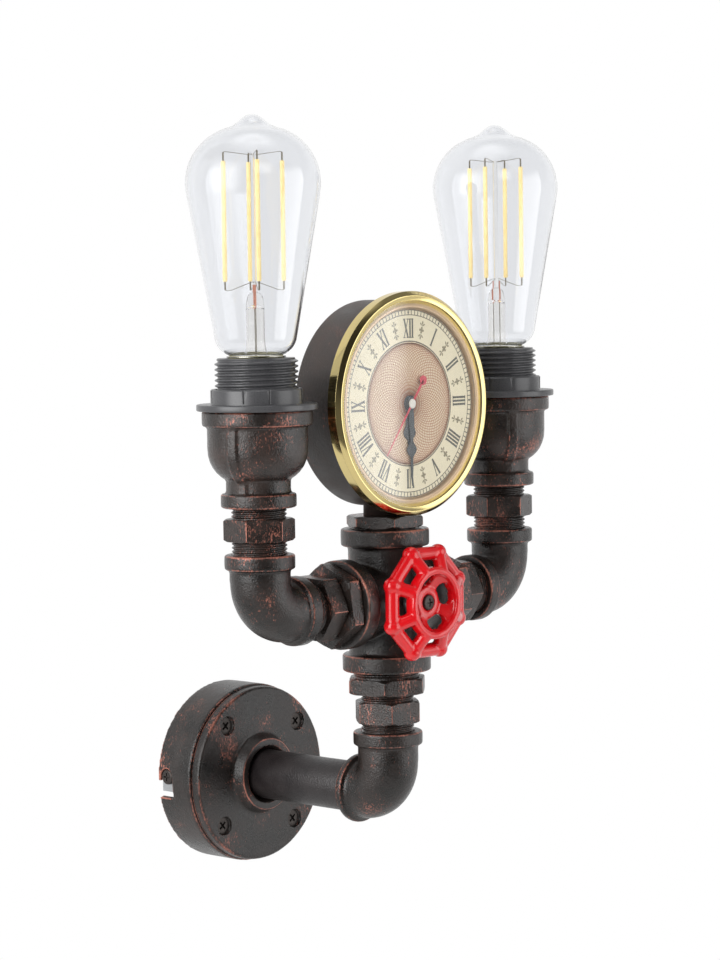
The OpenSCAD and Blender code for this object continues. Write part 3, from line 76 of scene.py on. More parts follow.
layout = {"reach": middle("left_bell", 1), "crossZ": middle("cross_fitting", 2), "clockZ": middle("bezel", 2),
          "lampX": middle("right_bell", 0), "holderTop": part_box("left_holder")[1][2] / mm}
sides = {"left": -1, "right": 1}
print("frame loaded:", len(nodes), "nodes")


def shift(x, y, z):
    return Matrix.Translation((x * mm, y * mm, z * mm))


def spin(degrees, axis="Z"):
    return Matrix.Rotation(math.radians(degrees), 4, axis)


def toLinear(code):
    parts = [int(code[i:i + 2], 16) / 255 for i in (1, 3, 5)]
    return [v / 12.92 if v <= 0.04045 else ((v + 0.055) / 1.055) ** 2.4 for v in parts] + [1]


# Each input is a value, a socket to link from, or a node whose first output is linked
def addNode(tree, kind, inputs=None, **settings):
    node = tree.nodes.new(kind)
    for key, value in settings.items():
        setattr(node, key, value)
    for key, value in (inputs or {}).items():
        if isinstance(value, bpy.types.Node):
            value = value.outputs[0]
        if isinstance(value, bpy.types.NodeSocket):
            tree.links.new(value, node.inputs[key])
        else:
            node.inputs[key].default_value = value
    return node


# Camera at the photograph's viewing angle: metres, degrees, and millimetres for lens and sensor
view = {"place": (-1.05035, layout["reach"] * mm - 0.96605, 0.25317), "heading": -46.916, "pitch": 86.108,
        "roll": -0.906, "lens": 108.226, "sensor": 36, "near": 0.05}
camera = bpy.data.objects.new("camera", bpy.data.cameras.new("camera"))
camera.data.lens = view["lens"]
camera.data.sensor_width = view["sensor"]
camera.data.clip_start = view["near"]
camera.matrix_world = (Matrix.Translation(view["place"]) @ spin(view["heading"]) @ spin(view["pitch"], "X")
                       @ spin(view["roll"]))
scene.collection.objects.link(camera)
scene.camera = camera


# Materials

def newMaterial(name):
    material = bpy.data.materials.new(name)
    material.use_nodes = True
    tree = material.node_tree
    tree.nodes.clear()
    return material, tree, addNode(tree, "ShaderNodeTexCoord").outputs["Object"]


# Cast fittings under a brushed black-brown lacquer: soft sheen, a sandy skin, and copper showing where hands
# and rags have rubbed it, on edges and in brushy patches. The sizes are in millimetres.
lacquer = {"copper": "#c8806e", "cloud": 14, "fleck": 0.8, "patch": 17, "bumpDepth": 0.3}

# Each: dark shade, light shade, how rare the rubbed patches are, roughness, size of the skin's grain
lacquers = {
    "antiqueIron": ("#120f0d", "#28201d", 1.45, 0.29, 0.8),
    "antiqueWorn": ("#171311", "#332925", 1.4, 0.27, 0.8),
    "antiquePipe": ("#1a1617", "#292424", 1.66, 0.36, 0.9),
    "antiqueDrum": ("#251e1b", "#362b26", 1.52, 0.44, 0.8),
}


def antiqueLacquer(name, dark, light, rare, rough, grain):
    material, tree, place = newMaterial(name)
    cloud = addNode(tree, "ShaderNodeTexNoise",
                    {"Vector": place, "Scale": 1 / (lacquer["cloud"] * mm), "Detail": 3})
    tone = addNode(tree, "ShaderNodeMapRange", {"Value": cloud, "From Min": 0.35, "From Max": 0.68})
    body = addNode(tree, "ShaderNodeMix", {0: tone, 6: toLinear(dark), 7: toLinear(light)}, data_type="RGBA")
    brushed = addNode(tree, "ShaderNodeMapping",
                      {"Vector": place, "Rotation": (0.5, 0.35, 0), "Scale": (1, 1, 0.42)})
    fleck = addNode(tree, "ShaderNodeTexNoise", {"Vector": brushed, "Scale": 1 / (lacquer["fleck"] * mm),
                                                 "Detail": 4, "Roughness": 0.7, "Distortion": 0.5})
    broad = addNode(tree, "ShaderNodeTexNoise",
                    {"Vector": place, "Scale": 1 / (lacquer["patch"] * mm), "Detail": 2})
    worn = addNode(tree, "ShaderNodeAttribute", attribute_name="wear").outputs["Fac"]
    edge = addNode(tree, "ShaderNodeMath", {0: worn, 1: 0.55, 2: broad}, operation="MULTIPLY_ADD")
    edge = addNode(tree, "ShaderNodeMath", {0: fleck, 1: 0.7, 2: edge}, operation="MULTIPLY_ADD")
    edge = addNode(tree, "ShaderNodeMapRange",
                   {"Value": edge, "From Min": 1.17, "From Max": 1.5, "To Max": 0.8})
    blot = addNode(tree, "ShaderNodeMath", {0: fleck, 1: 1.5, 2: broad}, operation="MULTIPLY_ADD")
    blot = addNode(tree, "ShaderNodeMapRange",
                   {"Value": blot, "From Min": rare, "From Max": rare + 0.26, "To Max": 0.84})
    rub = addNode(tree, "ShaderNodeMath", {0: edge, 1: blot}, operation="MAXIMUM")
    colour = addNode(tree, "ShaderNodeMix", {0: rub, 6: body.outputs[2], 7: toLinear(lacquer["copper"])},
                     data_type="RGBA")
    metal = addNode(tree, "ShaderNodeMath", {0: rub, 1: 0.6}, operation="MULTIPLY")
    gloss = addNode(tree, "ShaderNodeMapRange", {"Value": cloud, "From Min": 0.3, "From Max": 0.7,
                                                 "To Min": rough - 0.06, "To Max": rough + 0.08})
    sand = addNode(tree, "ShaderNodeTexNoise", {"Vector": place, "Scale": 1 / (grain * mm), "Detail": 3})
    bump = addNode(tree, "ShaderNodeBump",
                   {"Strength": 0.95, "Distance": lacquer["bumpDepth"] * mm, "Height": sand})
    shader = addNode(tree, "ShaderNodeBsdfPrincipled", {"Base Color": colour.outputs[2], "Metallic": metal,
                                                        "Roughness": gloss, "Normal": bump})
    addNode(tree, "ShaderNodeOutputMaterial", {"Surface": shader})
    return material


# Other finishes: two close shades in soft clouds, with a fine grain that breaks up the gloss.
# Each: the two shades, metallic, roughness, and the sizes of cloud and grain in millimetres.
finishes = {
    "zincPlatedSteel": ("#c9cbcd", "#a8abae", 1.0, 0.33, 5, 0.5),  # cool and bright, a little milky
    "blackOxideSteel": ("#34302e", "#4a4441", 0.7, 0.42, 2, 0.4),  # oily black with some brown
    "mouldedNylon": ("#e9e6dc", "#dcd8cb", 0.0, 0.4, 6, 0.7),  # waxy ivory
    "blackPhenolic": ("#3d3d3f", "#4a4a4c", 0.0, 0.29, 8, 0.5),  # pressed resin, dense, with a soft gloss
    "mouldedCase": ("#2a2829", "#353233", 0.0, 0.5, 7, 0.6),  # ABS, dark and even
    "mouldedRubber": ("#1c1c1c", "#272626", 0.0, 0.7, 4, 0.8),  # dull black
    "knobPolystyrene": ("#ece8de", "#e0dbcd", 0.0, 0.35, 5, 0.6),  # off-white with a slight shine
    "batteryJacket": ("#86806f", "#6f6a5c", 0.6, 0.35, 9, 0.7),  # metallic film over a steel can
    "nickelPlate": ("#c6c4bc", "#a9a79e", 1.0, 0.24, 5, 0.5),  # warm white metal, fairly bright
    "springBrass": ("#c8a350", "#a9853a", 1.0, 0.3, 3, 0.4),  # yellow rolled sheet
    "leadSheath": ("#dcd8cb", "#cbc6b6", 0.0, 0.5, 8, 0.6),  # cream PVC, satin
    "phosphorSilicone": ("#fde9b0", "#f3d285", 0.0, 0.55, 3, 0.3),  # soft yellow gel, matt
    "stampedHands": ("#20282a", "#2d3638", 0.0, 0.35, 3, 0.3),  # blue-black enamel on sheet metal
    "redHand": ("#d63346", "#c52a3c", 0.0, 0.35, 3, 0.3),  # red enamel on sheet metal
    "dialInk": ("#4b4a40", "#5a584c", 0.0, 0.6, 1, 0.3),  # dark print, matt
    "paleInk": ("#877c5e", "#94896a", 0.0, 0.6, 1, 0.3),  # faded print, matt
    "redInk": ("#a86c4a", "#b57a56", 0.0, 0.6, 1, 0.3),  # rust-red print, matt
    "dumetSeal": ("#c8907c", "#b87a66", 0.6, 0.4, 1, 0.2),  # copper-clad wire, pink where glass wets it
    "capCement": ("#7f7b58", "#918d6b", 0.0, 0.6, 2, 0.4),  # baked putty, dull olive
    "filamentWire": ("#8f8878", "#6f6a5e", 0.9, 0.35, 1, 0.2),  # drawn nickel wire, grey
}


def plainFinish(name, first, second, metallic, rough, cloud, grain):
    material, tree, place = newMaterial(name)
    first, second = toLinear(first), toLinear(second)
    drift = addNode(tree, "ShaderNodeTexNoise", {"Vector": place, "Scale": 1 / (cloud * mm), "Detail": 2})
    fine = addNode(tree, "ShaderNodeTexNoise", {"Vector": place, "Scale": 1 / (grain * mm), "Detail": 2})
    colour = addNode(tree, "ShaderNodeMix", {0: drift, 6: first, 7: second}, data_type="RGBA")
    gloss = addNode(tree, "ShaderNodeMapRange",
                    {"Value": fine, "To Min": rough - 0.07, "To Max": rough + 0.07})
    bump = addNode(tree, "ShaderNodeBump", {"Strength": 0.15, "Distance": 0.05 * mm, "Height": fine})
    shader = addNode(tree, "ShaderNodeBsdfPrincipled", {"Base Color": colour.outputs[2], "Metallic": metallic,
                                                        "Roughness": gloss, "Normal": bump})
    addNode(tree, "ShaderNodeOutputMaterial", {"Surface": shader})
    return material


# Gloss enamel on the wheel: a wet red coat that pools, with slow waves in its highlights
def glossEnamel(name, thick="#dc0d18", thin="#cd0a14", pool=6):
    material, tree, place = newMaterial(name)
    pools = addNode(tree, "ShaderNodeTexNoise", {"Vector": place, "Scale": 1 / (pool * mm), "Detail": 1})
    colour = addNode(tree, "ShaderNodeMix", {0: pools, 6: toLinear(thick), 7: toLinear(thin)},
                     data_type="RGBA")
    bump = addNode(tree, "ShaderNodeBump", {"Strength": 0.25, "Distance": 0.15 * mm, "Height": pools})
    shader = addNode(tree, "ShaderNodeBsdfPrincipled",
                     {"Base Color": colour.outputs[2], "Roughness": 0.2, "Coat Weight": 0.35,
                      "Coat Roughness": 0.06, "Normal": bump})
    addNode(tree, "ShaderNodeOutputMaterial", {"Surface": shader})
    return material


# Distance of a point from the clock's axis
def fromAxis(tree, place):
    centred = addNode(tree, "ShaderNodeMapping",
                      {"Vector": place, "Location": (0, 0, -layout["clockZ"] * mm)})
    flat = addNode(tree, "ShaderNodeVectorMath", {0: centred, 1: (1, 0, 1)}, operation="MULTIPLY")
    return addNode(tree, "ShaderNodeVectorMath", {0: flat}, operation="LENGTH").outputs["Value"]


# Spun brass, polished and lacquered: mirror-like, with the faint rings the wheel left. A darker outer edge is
# given as its shade and the radii between which it comes in.
def polishedBrass(name, shades, rough, outerEdge=None):
    material, tree, place = newMaterial(name)
    radius = fromAxis(tree, place)
    rings = addNode(tree, "ShaderNodeTexNoise", {"W": radius, "Scale": 1 / (0.4 * mm), "Detail": 2},
                    noise_dimensions="1D")
    first, second = (toLinear(code) for code in shades)
    colour = addNode(tree, "ShaderNodeMix", {0: rings, 6: first, 7: second}, data_type="RGBA")
    if outerEdge:
        shade, start, end = outerEdge
        outer = addNode(tree, "ShaderNodeMapRange",
                        {"Value": radius, "From Min": start * mm, "From Max": end * mm})
        colour = addNode(tree, "ShaderNodeMix", {0: outer, 6: colour.outputs[2], 7: toLinear(shade)},
                         data_type="RGBA")
    gloss = addNode(tree, "ShaderNodeMapRange",
                    {"Value": rings, "To Min": rough - 0.04, "To Max": rough + 0.06})
    shader = addNode(tree, "ShaderNodeBsdfPrincipled", {"Base Color": colour.outputs[2], "Metallic": 1,
                                                        "Roughness": gloss})
    addNode(tree, "ShaderNodeOutputMaterial", {"Surface": shader})
    return material


# Clear glass, blown or drawn: no colour, a slow wave in the wall, and light from the lamps passes through
def clearGlass(name, wave, tint="#f3f4f6", ior=1.45):
    material, tree, place = newMaterial(name)
    slow = addNode(tree, "ShaderNodeTexNoise", {"Vector": place, "Scale": 1 / (wave * mm), "Detail": 1})
    bump = addNode(tree, "ShaderNodeBump", {"Strength": 0.08, "Distance": 0.3 * mm, "Height": slow})
    shader = addNode(tree, "ShaderNodeBsdfPrincipled",
                     {"Base Color": toLinear(tint), "Roughness": 0, "IOR": ior, "Transmission Weight": 1,
                      "Normal": bump})
    lampRay = addNode(tree, "ShaderNodeLightPath").outputs["Is Shadow Ray"]
    through = addNode(tree, "ShaderNodeBsdfTransparent")
    mixed = addNode(tree, "ShaderNodeMixShader", {0: lampRay, 1: shader, 2: through})
    addNode(tree, "ShaderNodeOutputMaterial", {"Surface": mixed})
    return material


# Printed dial card: a tan middle, a dark circle, a cream ring for the numerals and a brown edge, with paper
# mottle. Each band is the radius in millimetres where it starts, and its colour.
dialBands = [(0, "#e2cfae"), (30.2, "#5d5240"), (30.75, "#e7dcbb"), (43.2, "#5f5743"), (43.6, "#e7dcbb"),
             (45.6, "#5f5743"), (46.05, "#b59b78"), (50, "#a5854f")]


def dialPrint(name, reach=52):
    material, tree, place = newMaterial(name)
    radius = fromAxis(tree, place)
    along = addNode(tree, "ShaderNodeMapRange", {"Value": radius, "From Max": reach * mm})
    bands = addNode(tree, "ShaderNodeValToRGB", {"Fac": along})
    bands.color_ramp.interpolation = "CONSTANT"
    stops = bands.color_ramp.elements
    while len(stops) < len(dialBands):
        stops.new(1)
    for stop, (start, code) in zip(stops, dialBands):
        stop.position = start / reach
        stop.color = toLinear(code)
    mottle = addNode(tree, "ShaderNodeTexNoise", {"Vector": place, "Scale": 1 / (2.5 * mm), "Detail": 3})
    shade = addNode(tree, "ShaderNodeMapRange", {"Value": mottle, "To Min": 0.94, "To Max": 1.04})
    colour = addNode(tree, "ShaderNodeMix", {0: 1.0, 6: bands, 7: shade}, data_type="RGBA",
                     blend_type="MULTIPLY")
    shader = addNode(tree, "ShaderNodeBsdfPrincipled", {"Base Color": colour.outputs[2], "Roughness": 0.6})
    addNode(tree, "ShaderNodeOutputMaterial", {"Surface": shader})
    return material


paint = {name: plainFinish(name, *look) for name, look in finishes.items()}
paint.update({name: antiqueLacquer(name, *look) for name, look in lacquers.items()})
paint["redEnamel"] = glossEnamel("redEnamel")
paint["polishedBrass"] = polishedBrass("polishedBrass", ("#dccb92", "#cbb679"), 0.12)
paint["goldRing"] = polishedBrass("goldRing", ("#c0a687", "#ad916d"), 0.34, ("#a4893f", 48.4, 49.4))
paint["bulbGlass"] = clearGlass("bulbGlass", 14)
paint["lensGlass"] = clearGlass("lensGlass", 40)
paint["stemGlass"] = clearGlass("stemGlass", 14, "#fdfcfa", 1.2)  # soft lead glass, as faint as its thin wall
paint["dialCard"] = dialPrint("dialCard")
print("materials:", len(paint))


# Mesh tools

# Gaps in metres: points closer than "made" or "solid" are one point, and edges shorter than "sliver" go
weld = {"made": 1e-6, "solid": 2e-6, "sliver": 1e-7}


def newObject(name, mesh):
    piece = bpy.data.objects.new(name, mesh)
    scene.collection.objects.link(piece)
    return piece


# A finished piece on its body, in place of the solids it stands for
def standFor(name, mesh, material, *stood, body=None):
    piece = newObject(name, mesh)
    mesh.materials.clear()
    mesh.materials.append(paint[material])
    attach(piece, body or nodes[stood[0]]["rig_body"])
    if stood:
        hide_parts(*stood)
    return piece


def shaded(mesh, angle=None):
    mesh.shade_smooth()
    if angle:
        mesh.set_sharp_from_angle(angle=math.radians(angle))
    return mesh


def written(work, mesh):
    work.to_mesh(mesh)
    work.free()
    return mesh


def tidyMesh(mesh, angle=None):
    work = bmesh.new()
    work.from_mesh(mesh)
    bmesh.ops.remove_doubles(work, verts=work.verts, dist=weld["made"])
    bmesh.ops.dissolve_degenerate(work, edges=work.edges, dist=weld["sliver"])
    bmesh.ops.delete(work, geom=[edge for edge in work.edges if not edge.link_faces], context="EDGES")
    bmesh.ops.recalc_face_normals(work, faces=work.faces)
    return shaded(written(work, mesh), angle)


def mergedCopy(node, angle=None):
    work = bmesh.new()
    work.from_mesh(nodes[node].data)
    bmesh.ops.remove_doubles(work, verts=work.verts, dist=weld["solid"])
    bmesh.ops.dissolve_degenerate(work, edges=work.edges, dist=weld["sliver"])
    return shaded(written(work, bpy.data.meshes.new(node + "Copy")), angle)


def joined(name, meshes):
    work = bmesh.new()
    for mesh in meshes:
        work.from_mesh(mesh)
    return written(work, bpy.data.meshes.new(name))


def settled(piece):
    mesh = bpy.data.meshes.new_from_object(piece.evaluated_get(bpy.context.evaluated_depsgraph_get()))
    bpy.data.objects.remove(piece)
    return mesh


# Copy of a solid with its edges rounded off, where they are sharper than the angle
def softened(node, edge, angle=35):
    piece = newObject(node + "Raw", mergedCopy(node, angle))
    if edge:
        soft = piece.modifiers.new("edges", "BEVEL")
        soft.width, soft.segments, soft.angle_limit = edge * mm, 2, math.radians(angle)
    return settled(piece)


# Closed skin over a stack of rings, each a loop of points in millimetres
def skin(name, rings, angle=None, closed=False):
    rings = np.asarray(rings, float)
    count, around = rings.shape[:2]
    step = np.arange(around)
    after = (step + 1) % around
    faces = []
    for i in range(count if closed else count - 1):
        low, high = i * around, (i + 1) % count * around
        faces.append(np.stack([low + step, low + after, high + after, high + step], 1))
    mesh = bpy.data.meshes.new(name)
    mesh.from_pydata((rings.reshape(-1, 3) * mm).tolist(), [], np.concatenate(faces).tolist())
    return tidyMesh(mesh, angle)


# Turned piece: the profile is a list of (radius, height)
def lathe(name, profile, around=128, angle=None, closed=False):
    turn = np.linspace(0, 2 * math.pi, around, endpoint=False)
    circle = np.stack([np.cos(turn), np.sin(turn), np.zeros(around)], 1)
    return skin(name, [circle * r + (0, 0, z) for r, z in profile], angle, closed)


def arc(centre, r, start, end, count):
    turn = np.radians(np.linspace(start, end, count))
    return [(centre[0] + r * math.cos(t), centre[1] + r * math.sin(t)) for t in turn]


def oval(x, y, long, wide, count, lean=0):
    c, s = math.cos(math.radians(lean)), math.sin(math.radians(lean))
    points = []
    for t in np.linspace(0, 2 * math.pi, count, endpoint=False):
        along, across = long * math.cos(t), wide * math.sin(t)
        points.append((x + along * c - across * s, y + along * s + across * c))
    return points


# Curve through all the points, with so many steps from each to the next
def smoothLine(points, count):
    p = np.array([points[0]] + list(points) + [points[-1]], float)
    out = []
    for before, here, there, after in zip(p, p[1:], p[2:], p[3:]):
        for t in np.linspace(0, 1, count, endpoint=False):
            square = (2 * before - 5 * here + 4 * there - after) * t ** 2
            cube = (3 * here - before - 3 * there + after) * t ** 3
            out.append(0.5 * (2 * here + (there - before) * t + square + cube))
    return out + [p[-1]]


def pointsAndNormals(mesh):
    place, lean = np.empty(len(mesh.vertices) * 3), np.empty(len(mesh.vertices) * 3)
    mesh.vertices.foreach_get("co", place)
    mesh.vertex_normals.foreach_get("vector", lean)
    return place.reshape(-1, 3), lean.reshape(-1, 3)


# Attribute "wear": how far each point stands out on a convex edge, from 0 where the bend per millimetre is
# "low" to 1 where it is "high". The points from threadsFrom on are a thread's, which rags reach less.
def markWear(mesh, low=0.1, high=0.5, threadsFrom=None, threadShare=0.45):
    count = len(mesh.vertices)
    place, lean = pointsAndNormals(mesh)
    place = place / mm
    ends = np.empty(len(mesh.edges) * 2, int)
    mesh.edges.foreach_get("vertices", ends)
    a, b = ends.reshape(-1, 2).T
    run = place[a] - place[b]
    bend = ((lean[a] - lean[b]) * run).sum(1) / np.maximum((run * run).sum(1), 1e-6)
    share = np.bincount(a, minlength=count) + np.bincount(b, minlength=count)
    for _ in range(2):
        total = np.bincount(a, bend, count) + np.bincount(b, bend, count)
        point = total / np.maximum(share, 1)
        bend = (point[a] + point[b]) / 2
    t = np.clip((point - low) / (high - low), 0, 1)
    if threadsFrom:
        t[threadsFrom:] *= threadShare
    wear = mesh.attributes.new("wear", "FLOAT", "POINT")
    wear.data.foreach_set("value", (t * t * (3 - 2 * t)).astype(np.float32))
    return mesh


# Sand castings: the solid is remeshed so that its corners run round, and its skin gets a slight unevenness
castSkin = bpy.data.textures.new("castSkin", "CLOUDS")
castSkin.noise_scale = 3.2 * mm

# The wheel's enamel: an even coat, and a heavier one on the rim, which begins between the two radii
enamel = {"coat": 0.25, "rimCoat": 0.6, "rimFrom": 12, "rimTo": 18}


def casting(name, node, material, voxel, smooth, uneven, fillet):
    piece = newObject(name + "Raw", mergedCopy(node))
    # swelling the skin and drawing it back in fills the inside corners, and leaves a coat's thickness
    for swell in (0, fillet, enamel["coat"] - fillet) if fillet else (0,):
        if swell:
            grow = piece.modifiers.new("grow", "DISPLACE")
            grow.strength, grow.mid_level = swell * mm, 0
        remesh = piece.modifiers.new("remesh", "REMESH")
        remesh.mode, remesh.voxel_size, remesh.use_smooth_shade = "VOXEL", voxel * mm, True
        relax = piece.modifiers.new("relax", "SMOOTH")
        relax.factor, relax.iterations = 0.5, smooth
    if uneven:
        lumps = piece.modifiers.new("lumps", "DISPLACE")
        lumps.texture, lumps.texture_coords = castSkin, "LOCAL"
        lumps.strength, lumps.mid_level = uneven * mm, 0.5
    return standFor(name, shaded(markWear(settled(piece))), material, node)


def thickenRim(mesh):
    place, lean = pointsAndNormals(mesh)
    out = np.hypot(place[:, 0], place[:, 2] - layout["crossZ"] * mm) / mm
    share = np.clip((out - enamel["rimFrom"]) / (enamel["rimTo"] - enamel["rimFrom"]), 0, 1)
    mesh.vertices.foreach_set("co", (place + lean * (share * enamel["rimCoat"] * mm)[:, None]).ravel())
    mesh.update()


# Rags don't reach into screw holes, so no wear shows within a few millimetres of a screw
def keepLacquer(mesh, screws, near=2.6):
    points = nodes[screws].data.vertices
    finder = KDTree(len(points))
    for i, point in enumerate(points):
        finder.insert(point.co, i)
    finder.balance()
    for point, wear in zip(mesh.vertices, mesh.attributes["wear"].data):
        if wear.value and finder.find(point.co)[2] < near * mm:
            wear.value = 0


# Each: solid, material, voxel, rounds of smoothing, unevenness of the skin, fillet in the inside corners
castings = {
    "wallCup": ("base_cup", "antiqueIron", 0.75, 4, 0.1, 0),
    "flangeCasting": ("flange_plate", "antiqueIron", 0.55, 4, 0.12, 0),
    "lowerElbow": ("lower_elbow", "antiqueIron", 0.6, 4, 0.14, 0),
    "crossCasting": ("cross_fitting", "antiqueIron", 0.65, 5, 0.14, 0),
    "leftElbow": ("left_elbow", "antiqueIron", 0.6, 4, 0.14, 0),
    "rightElbow": ("right_elbow", "antiqueIron", 0.6, 4, 0.14, 0),
    "leftBell": ("left_bell", "antiqueWorn", 0.6, 4, 0.14, 0),
    "rightBell": ("right_bell", "antiqueWorn", 0.6, 4, 0.14, 0),
    "handwheelCasting": ("handwheel", "redEnamel", 0.35, 5, 0, 1.1),
}
for name, form in castings.items():
    piece = casting(name, *form)
    print("casting", name, len(piece.data.polygons), "faces")
    if name == "handwheelCasting":
        thickenRim(piece.data)
    elif name == "flangeCasting":
        keepLacquer(piece.data, "flange_screws")


# Geometry Nodes trees

def newTree(name, inputs):
    tree = bpy.data.node_groups.new(name, "GeometryNodeTree")
    tree.interface.new_socket("Geometry", in_out="INPUT", socket_type="NodeSocketGeometry")
    for label, kind in inputs.items():
        tree.interface.new_socket(label, in_out="INPUT", socket_type="NodeSocket" + kind)
    tree.interface.new_socket("Geometry", in_out="OUTPUT", socket_type="NodeSocketGeometry")
    return tree, addNode(tree, "NodeGroupInput").outputs


def closeTree(tree, given, shape):
    real = addNode(tree, "GeometryNodeRealizeInstances", {"Geometry": shape})
    coloured = addNode(tree, "GeometryNodeSetMaterial", {"Geometry": real, "Material": given["Material"]})
    addNode(tree, "NodeGroupOutput", {0: coloured})
    return tree


# Tube with a screw thread outside and a plain bore, along +Z from the origin. It is bent from a grid, whose
# rows run from the bore's lower end up the thread, in to the bore's upper end, and back down.
def threadTree():
    sizes = {label: "Float" for label in ("Radius", "Depth", "Pitch", "Length", "Bore", "RunOut")}
    tree, given = newTree("threadTube", {**sizes, "Around": "Int", "Rows": "Int", "Material": "Material"})
    pointsAround = addNode(tree, "ShaderNodeMath", {0: given["Around"], 1: 1}, operation="ADD")
    pointsUp = addNode(tree, "ShaderNodeMath", {0: given["Rows"], 1: 3}, operation="ADD")
    tall = addNode(tree, "ShaderNodeMath", {0: given["Rows"], 1: 2}, operation="ADD")
    grid = addNode(tree, "GeometryNodeMeshGrid", {"Size X": 2 * math.pi, "Size Y": tall,
                                                  "Vertices X": pointsAround, "Vertices Y": pointsUp})
    at = addNode(tree, "ShaderNodeSeparateXYZ", {0: addNode(tree, "GeometryNodeInputPosition")}).outputs
    row = addNode(tree, "ShaderNodeMath", {0: tall, 1: 0.5, 2: at["Y"]}, operation="MULTIPLY_ADD")
    along = addNode(tree, "ShaderNodeMapRange", {"Value": row, "From Min": 1, "From Max": given["Rows"],
                                                 "To Max": given["Length"]})
    turns = addNode(tree, "ShaderNodeMath", {0: along, 1: given["Pitch"]}, operation="DIVIDE")
    lead = addNode(tree, "ShaderNodeMath", {0: at["X"], 1: -0.5 / math.pi, 2: turns},
                   operation="MULTIPLY_ADD")
    wave = addNode(tree, "ShaderNodeMath", {0: lead, 1: 0.5}, operation="PINGPONG")
    flank = addNode(tree, "ShaderNodeMapRange", {"Value": wave, "From Min": 0.06, "From Max": 0.42},
                    interpolation_type="SMOOTHSTEP")
    rest = addNode(tree, "ShaderNodeMath", {0: given["Length"], 1: along}, operation="SUBTRACT")
    nearEnd = addNode(tree, "ShaderNodeMath", {0: along, 1: rest}, operation="MINIMUM")
    full = addNode(tree, "ShaderNodeMapRange", {"Value": nearEnd, "From Max": given["RunOut"]})
    rise = addNode(tree, "ShaderNodeMath", {0: flank, 1: full}, operation="MULTIPLY")
    root = addNode(tree, "ShaderNodeMath", {0: given["Radius"], 1: given["Depth"]}, operation="SUBTRACT")
    outer = addNode(tree, "ShaderNodeMath", {0: rise, 1: given["Depth"], 2: root}, operation="MULTIPLY_ADD")
    afterFirst = addNode(tree, "ShaderNodeMath", {0: row, 1: 0.5}, operation="GREATER_THAN")
    lastRow = addNode(tree, "ShaderNodeMath", {0: given["Rows"], 1: 0.5}, operation="ADD")
    beforeLast = addNode(tree, "ShaderNodeMath", {0: row, 1: lastRow}, operation="LESS_THAN")
    outside = addNode(tree, "ShaderNodeMath", {0: afterFirst, 1: beforeLast}, operation="MULTIPLY")
    radius = addNode(tree, "ShaderNodeMapRange", {"Value": outside, "To Min": given["Bore"], "To Max": outer})
    backRow = addNode(tree, "ShaderNodeMath", {0: given["Rows"], 1: 1.5}, operation="ADD")
    notBack = addNode(tree, "ShaderNodeMath", {0: row, 1: backRow}, operation="LESS_THAN")
    height = addNode(tree, "ShaderNodeMath", {0: along, 1: notBack}, operation="MULTIPLY")
    across = []
    for operation in ("COSINE", "SINE"):
        share = addNode(tree, "ShaderNodeMath", {0: at["X"]}, operation=operation)
        across.append(addNode(tree, "ShaderNodeMath", {0: radius, 1: share}, operation="MULTIPLY"))
    point = addNode(tree, "ShaderNodeCombineXYZ", {0: across[0], 1: across[1], 2: height})
    bent = addNode(tree, "GeometryNodeSetPosition", {"Geometry": grid.outputs["Mesh"], "Position": point})
    welded = addNode(tree, "GeometryNodeMergeByDistance", {"Geometry": bent, "Distance": weld["made"]})
    return closeTree(tree, given, welded)


# Copies of the object's own mesh round a circle, each turned with its place
def ringTree():
    tree, given = newTree("ringOfCopies", {"Count": "Int", "Radius": "Float", "Material": "Material"})
    circle = addNode(tree, "GeometryNodeMeshCircle", {"Vertices": given["Count"], "Radius": given["Radius"]})
    index = addNode(tree, "GeometryNodeInputIndex")
    share = addNode(tree, "ShaderNodeMath", {0: index, 1: given["Count"]}, operation="DIVIDE")
    turn = addNode(tree, "ShaderNodeMath", {0: share, 1: 2 * math.pi}, operation="MULTIPLY")
    facing = addNode(tree, "ShaderNodeCombineXYZ", {2: turn})
    copies = addNode(tree, "GeometryNodeInstanceOnPoints", {"Points": circle, "Instance": given["Geometry"],
                                                            "Rotation": facing})
    return closeTree(tree, given, copies)


trees = {"thread": threadTree(), "ring": ringTree()}


def grown(name, tree, values, mesh=None):
    piece = newObject(name + "Seed", mesh or bpy.data.meshes.new(name + "Seed"))
    modifier = piece.modifiers.new(name, "NODES")
    modifier.node_group = trees[tree]
    for item in trees[tree].interface.items_tree:
        if item.in_out == "INPUT" and item.name in values:
            modifier[item.identifier] = values[item.name]
    return settled(piece)


def threadTube(name, radius, depth, pitch, length, bore, material, around=72, perTurn=8):
    sizes = {"Radius": radius, "Depth": depth, "Pitch": pitch, "Length": length, "Bore": bore,
             "RunOut": 0.6 * pitch}
    values = {label: size * mm for label, size in sizes.items()}
    rows = max(8, round(length / pitch * perTurn))
    values.update({"Around": around, "Rows": rows, "Material": paint[material]})
    return tidyMesh(grown(name, "thread", values), 50)


def ringOf(name, mesh, count, radius, material):
    return grown(name, "ring", {"Count": count, "Radius": radius * mm, "Material": paint[material]}, mesh)


# Hexagon fittings: rounded hexagon with turned-off corners, and a screw thread at one end or both, which
# reaches a little into the hexagon. The flat face takes in a share of the corners, and a slope cuts off the
# rest. Threads are given by their outer radius.
fitting = {"nippleFlats": 30, "nippleHeight": 10.6, "nippleBore": 10, "smallThread": 13.2, "pitch": 1.814,
           "bushingFlats": 36.5, "bushingHeight": 7.6, "bushingBore": 13.32, "bigThread": 16.6,
           "bigPitch": 2.309, "plugFlats": 34.2, "plugHeight": 5.6, "boltHole": 5.1, "threadDepth": 0.85,
           "overlap": 0.4, "cornerRound": 0.55, "faceShare": 0.4, "cutDepth": 1.2, "cutSlope": 30}


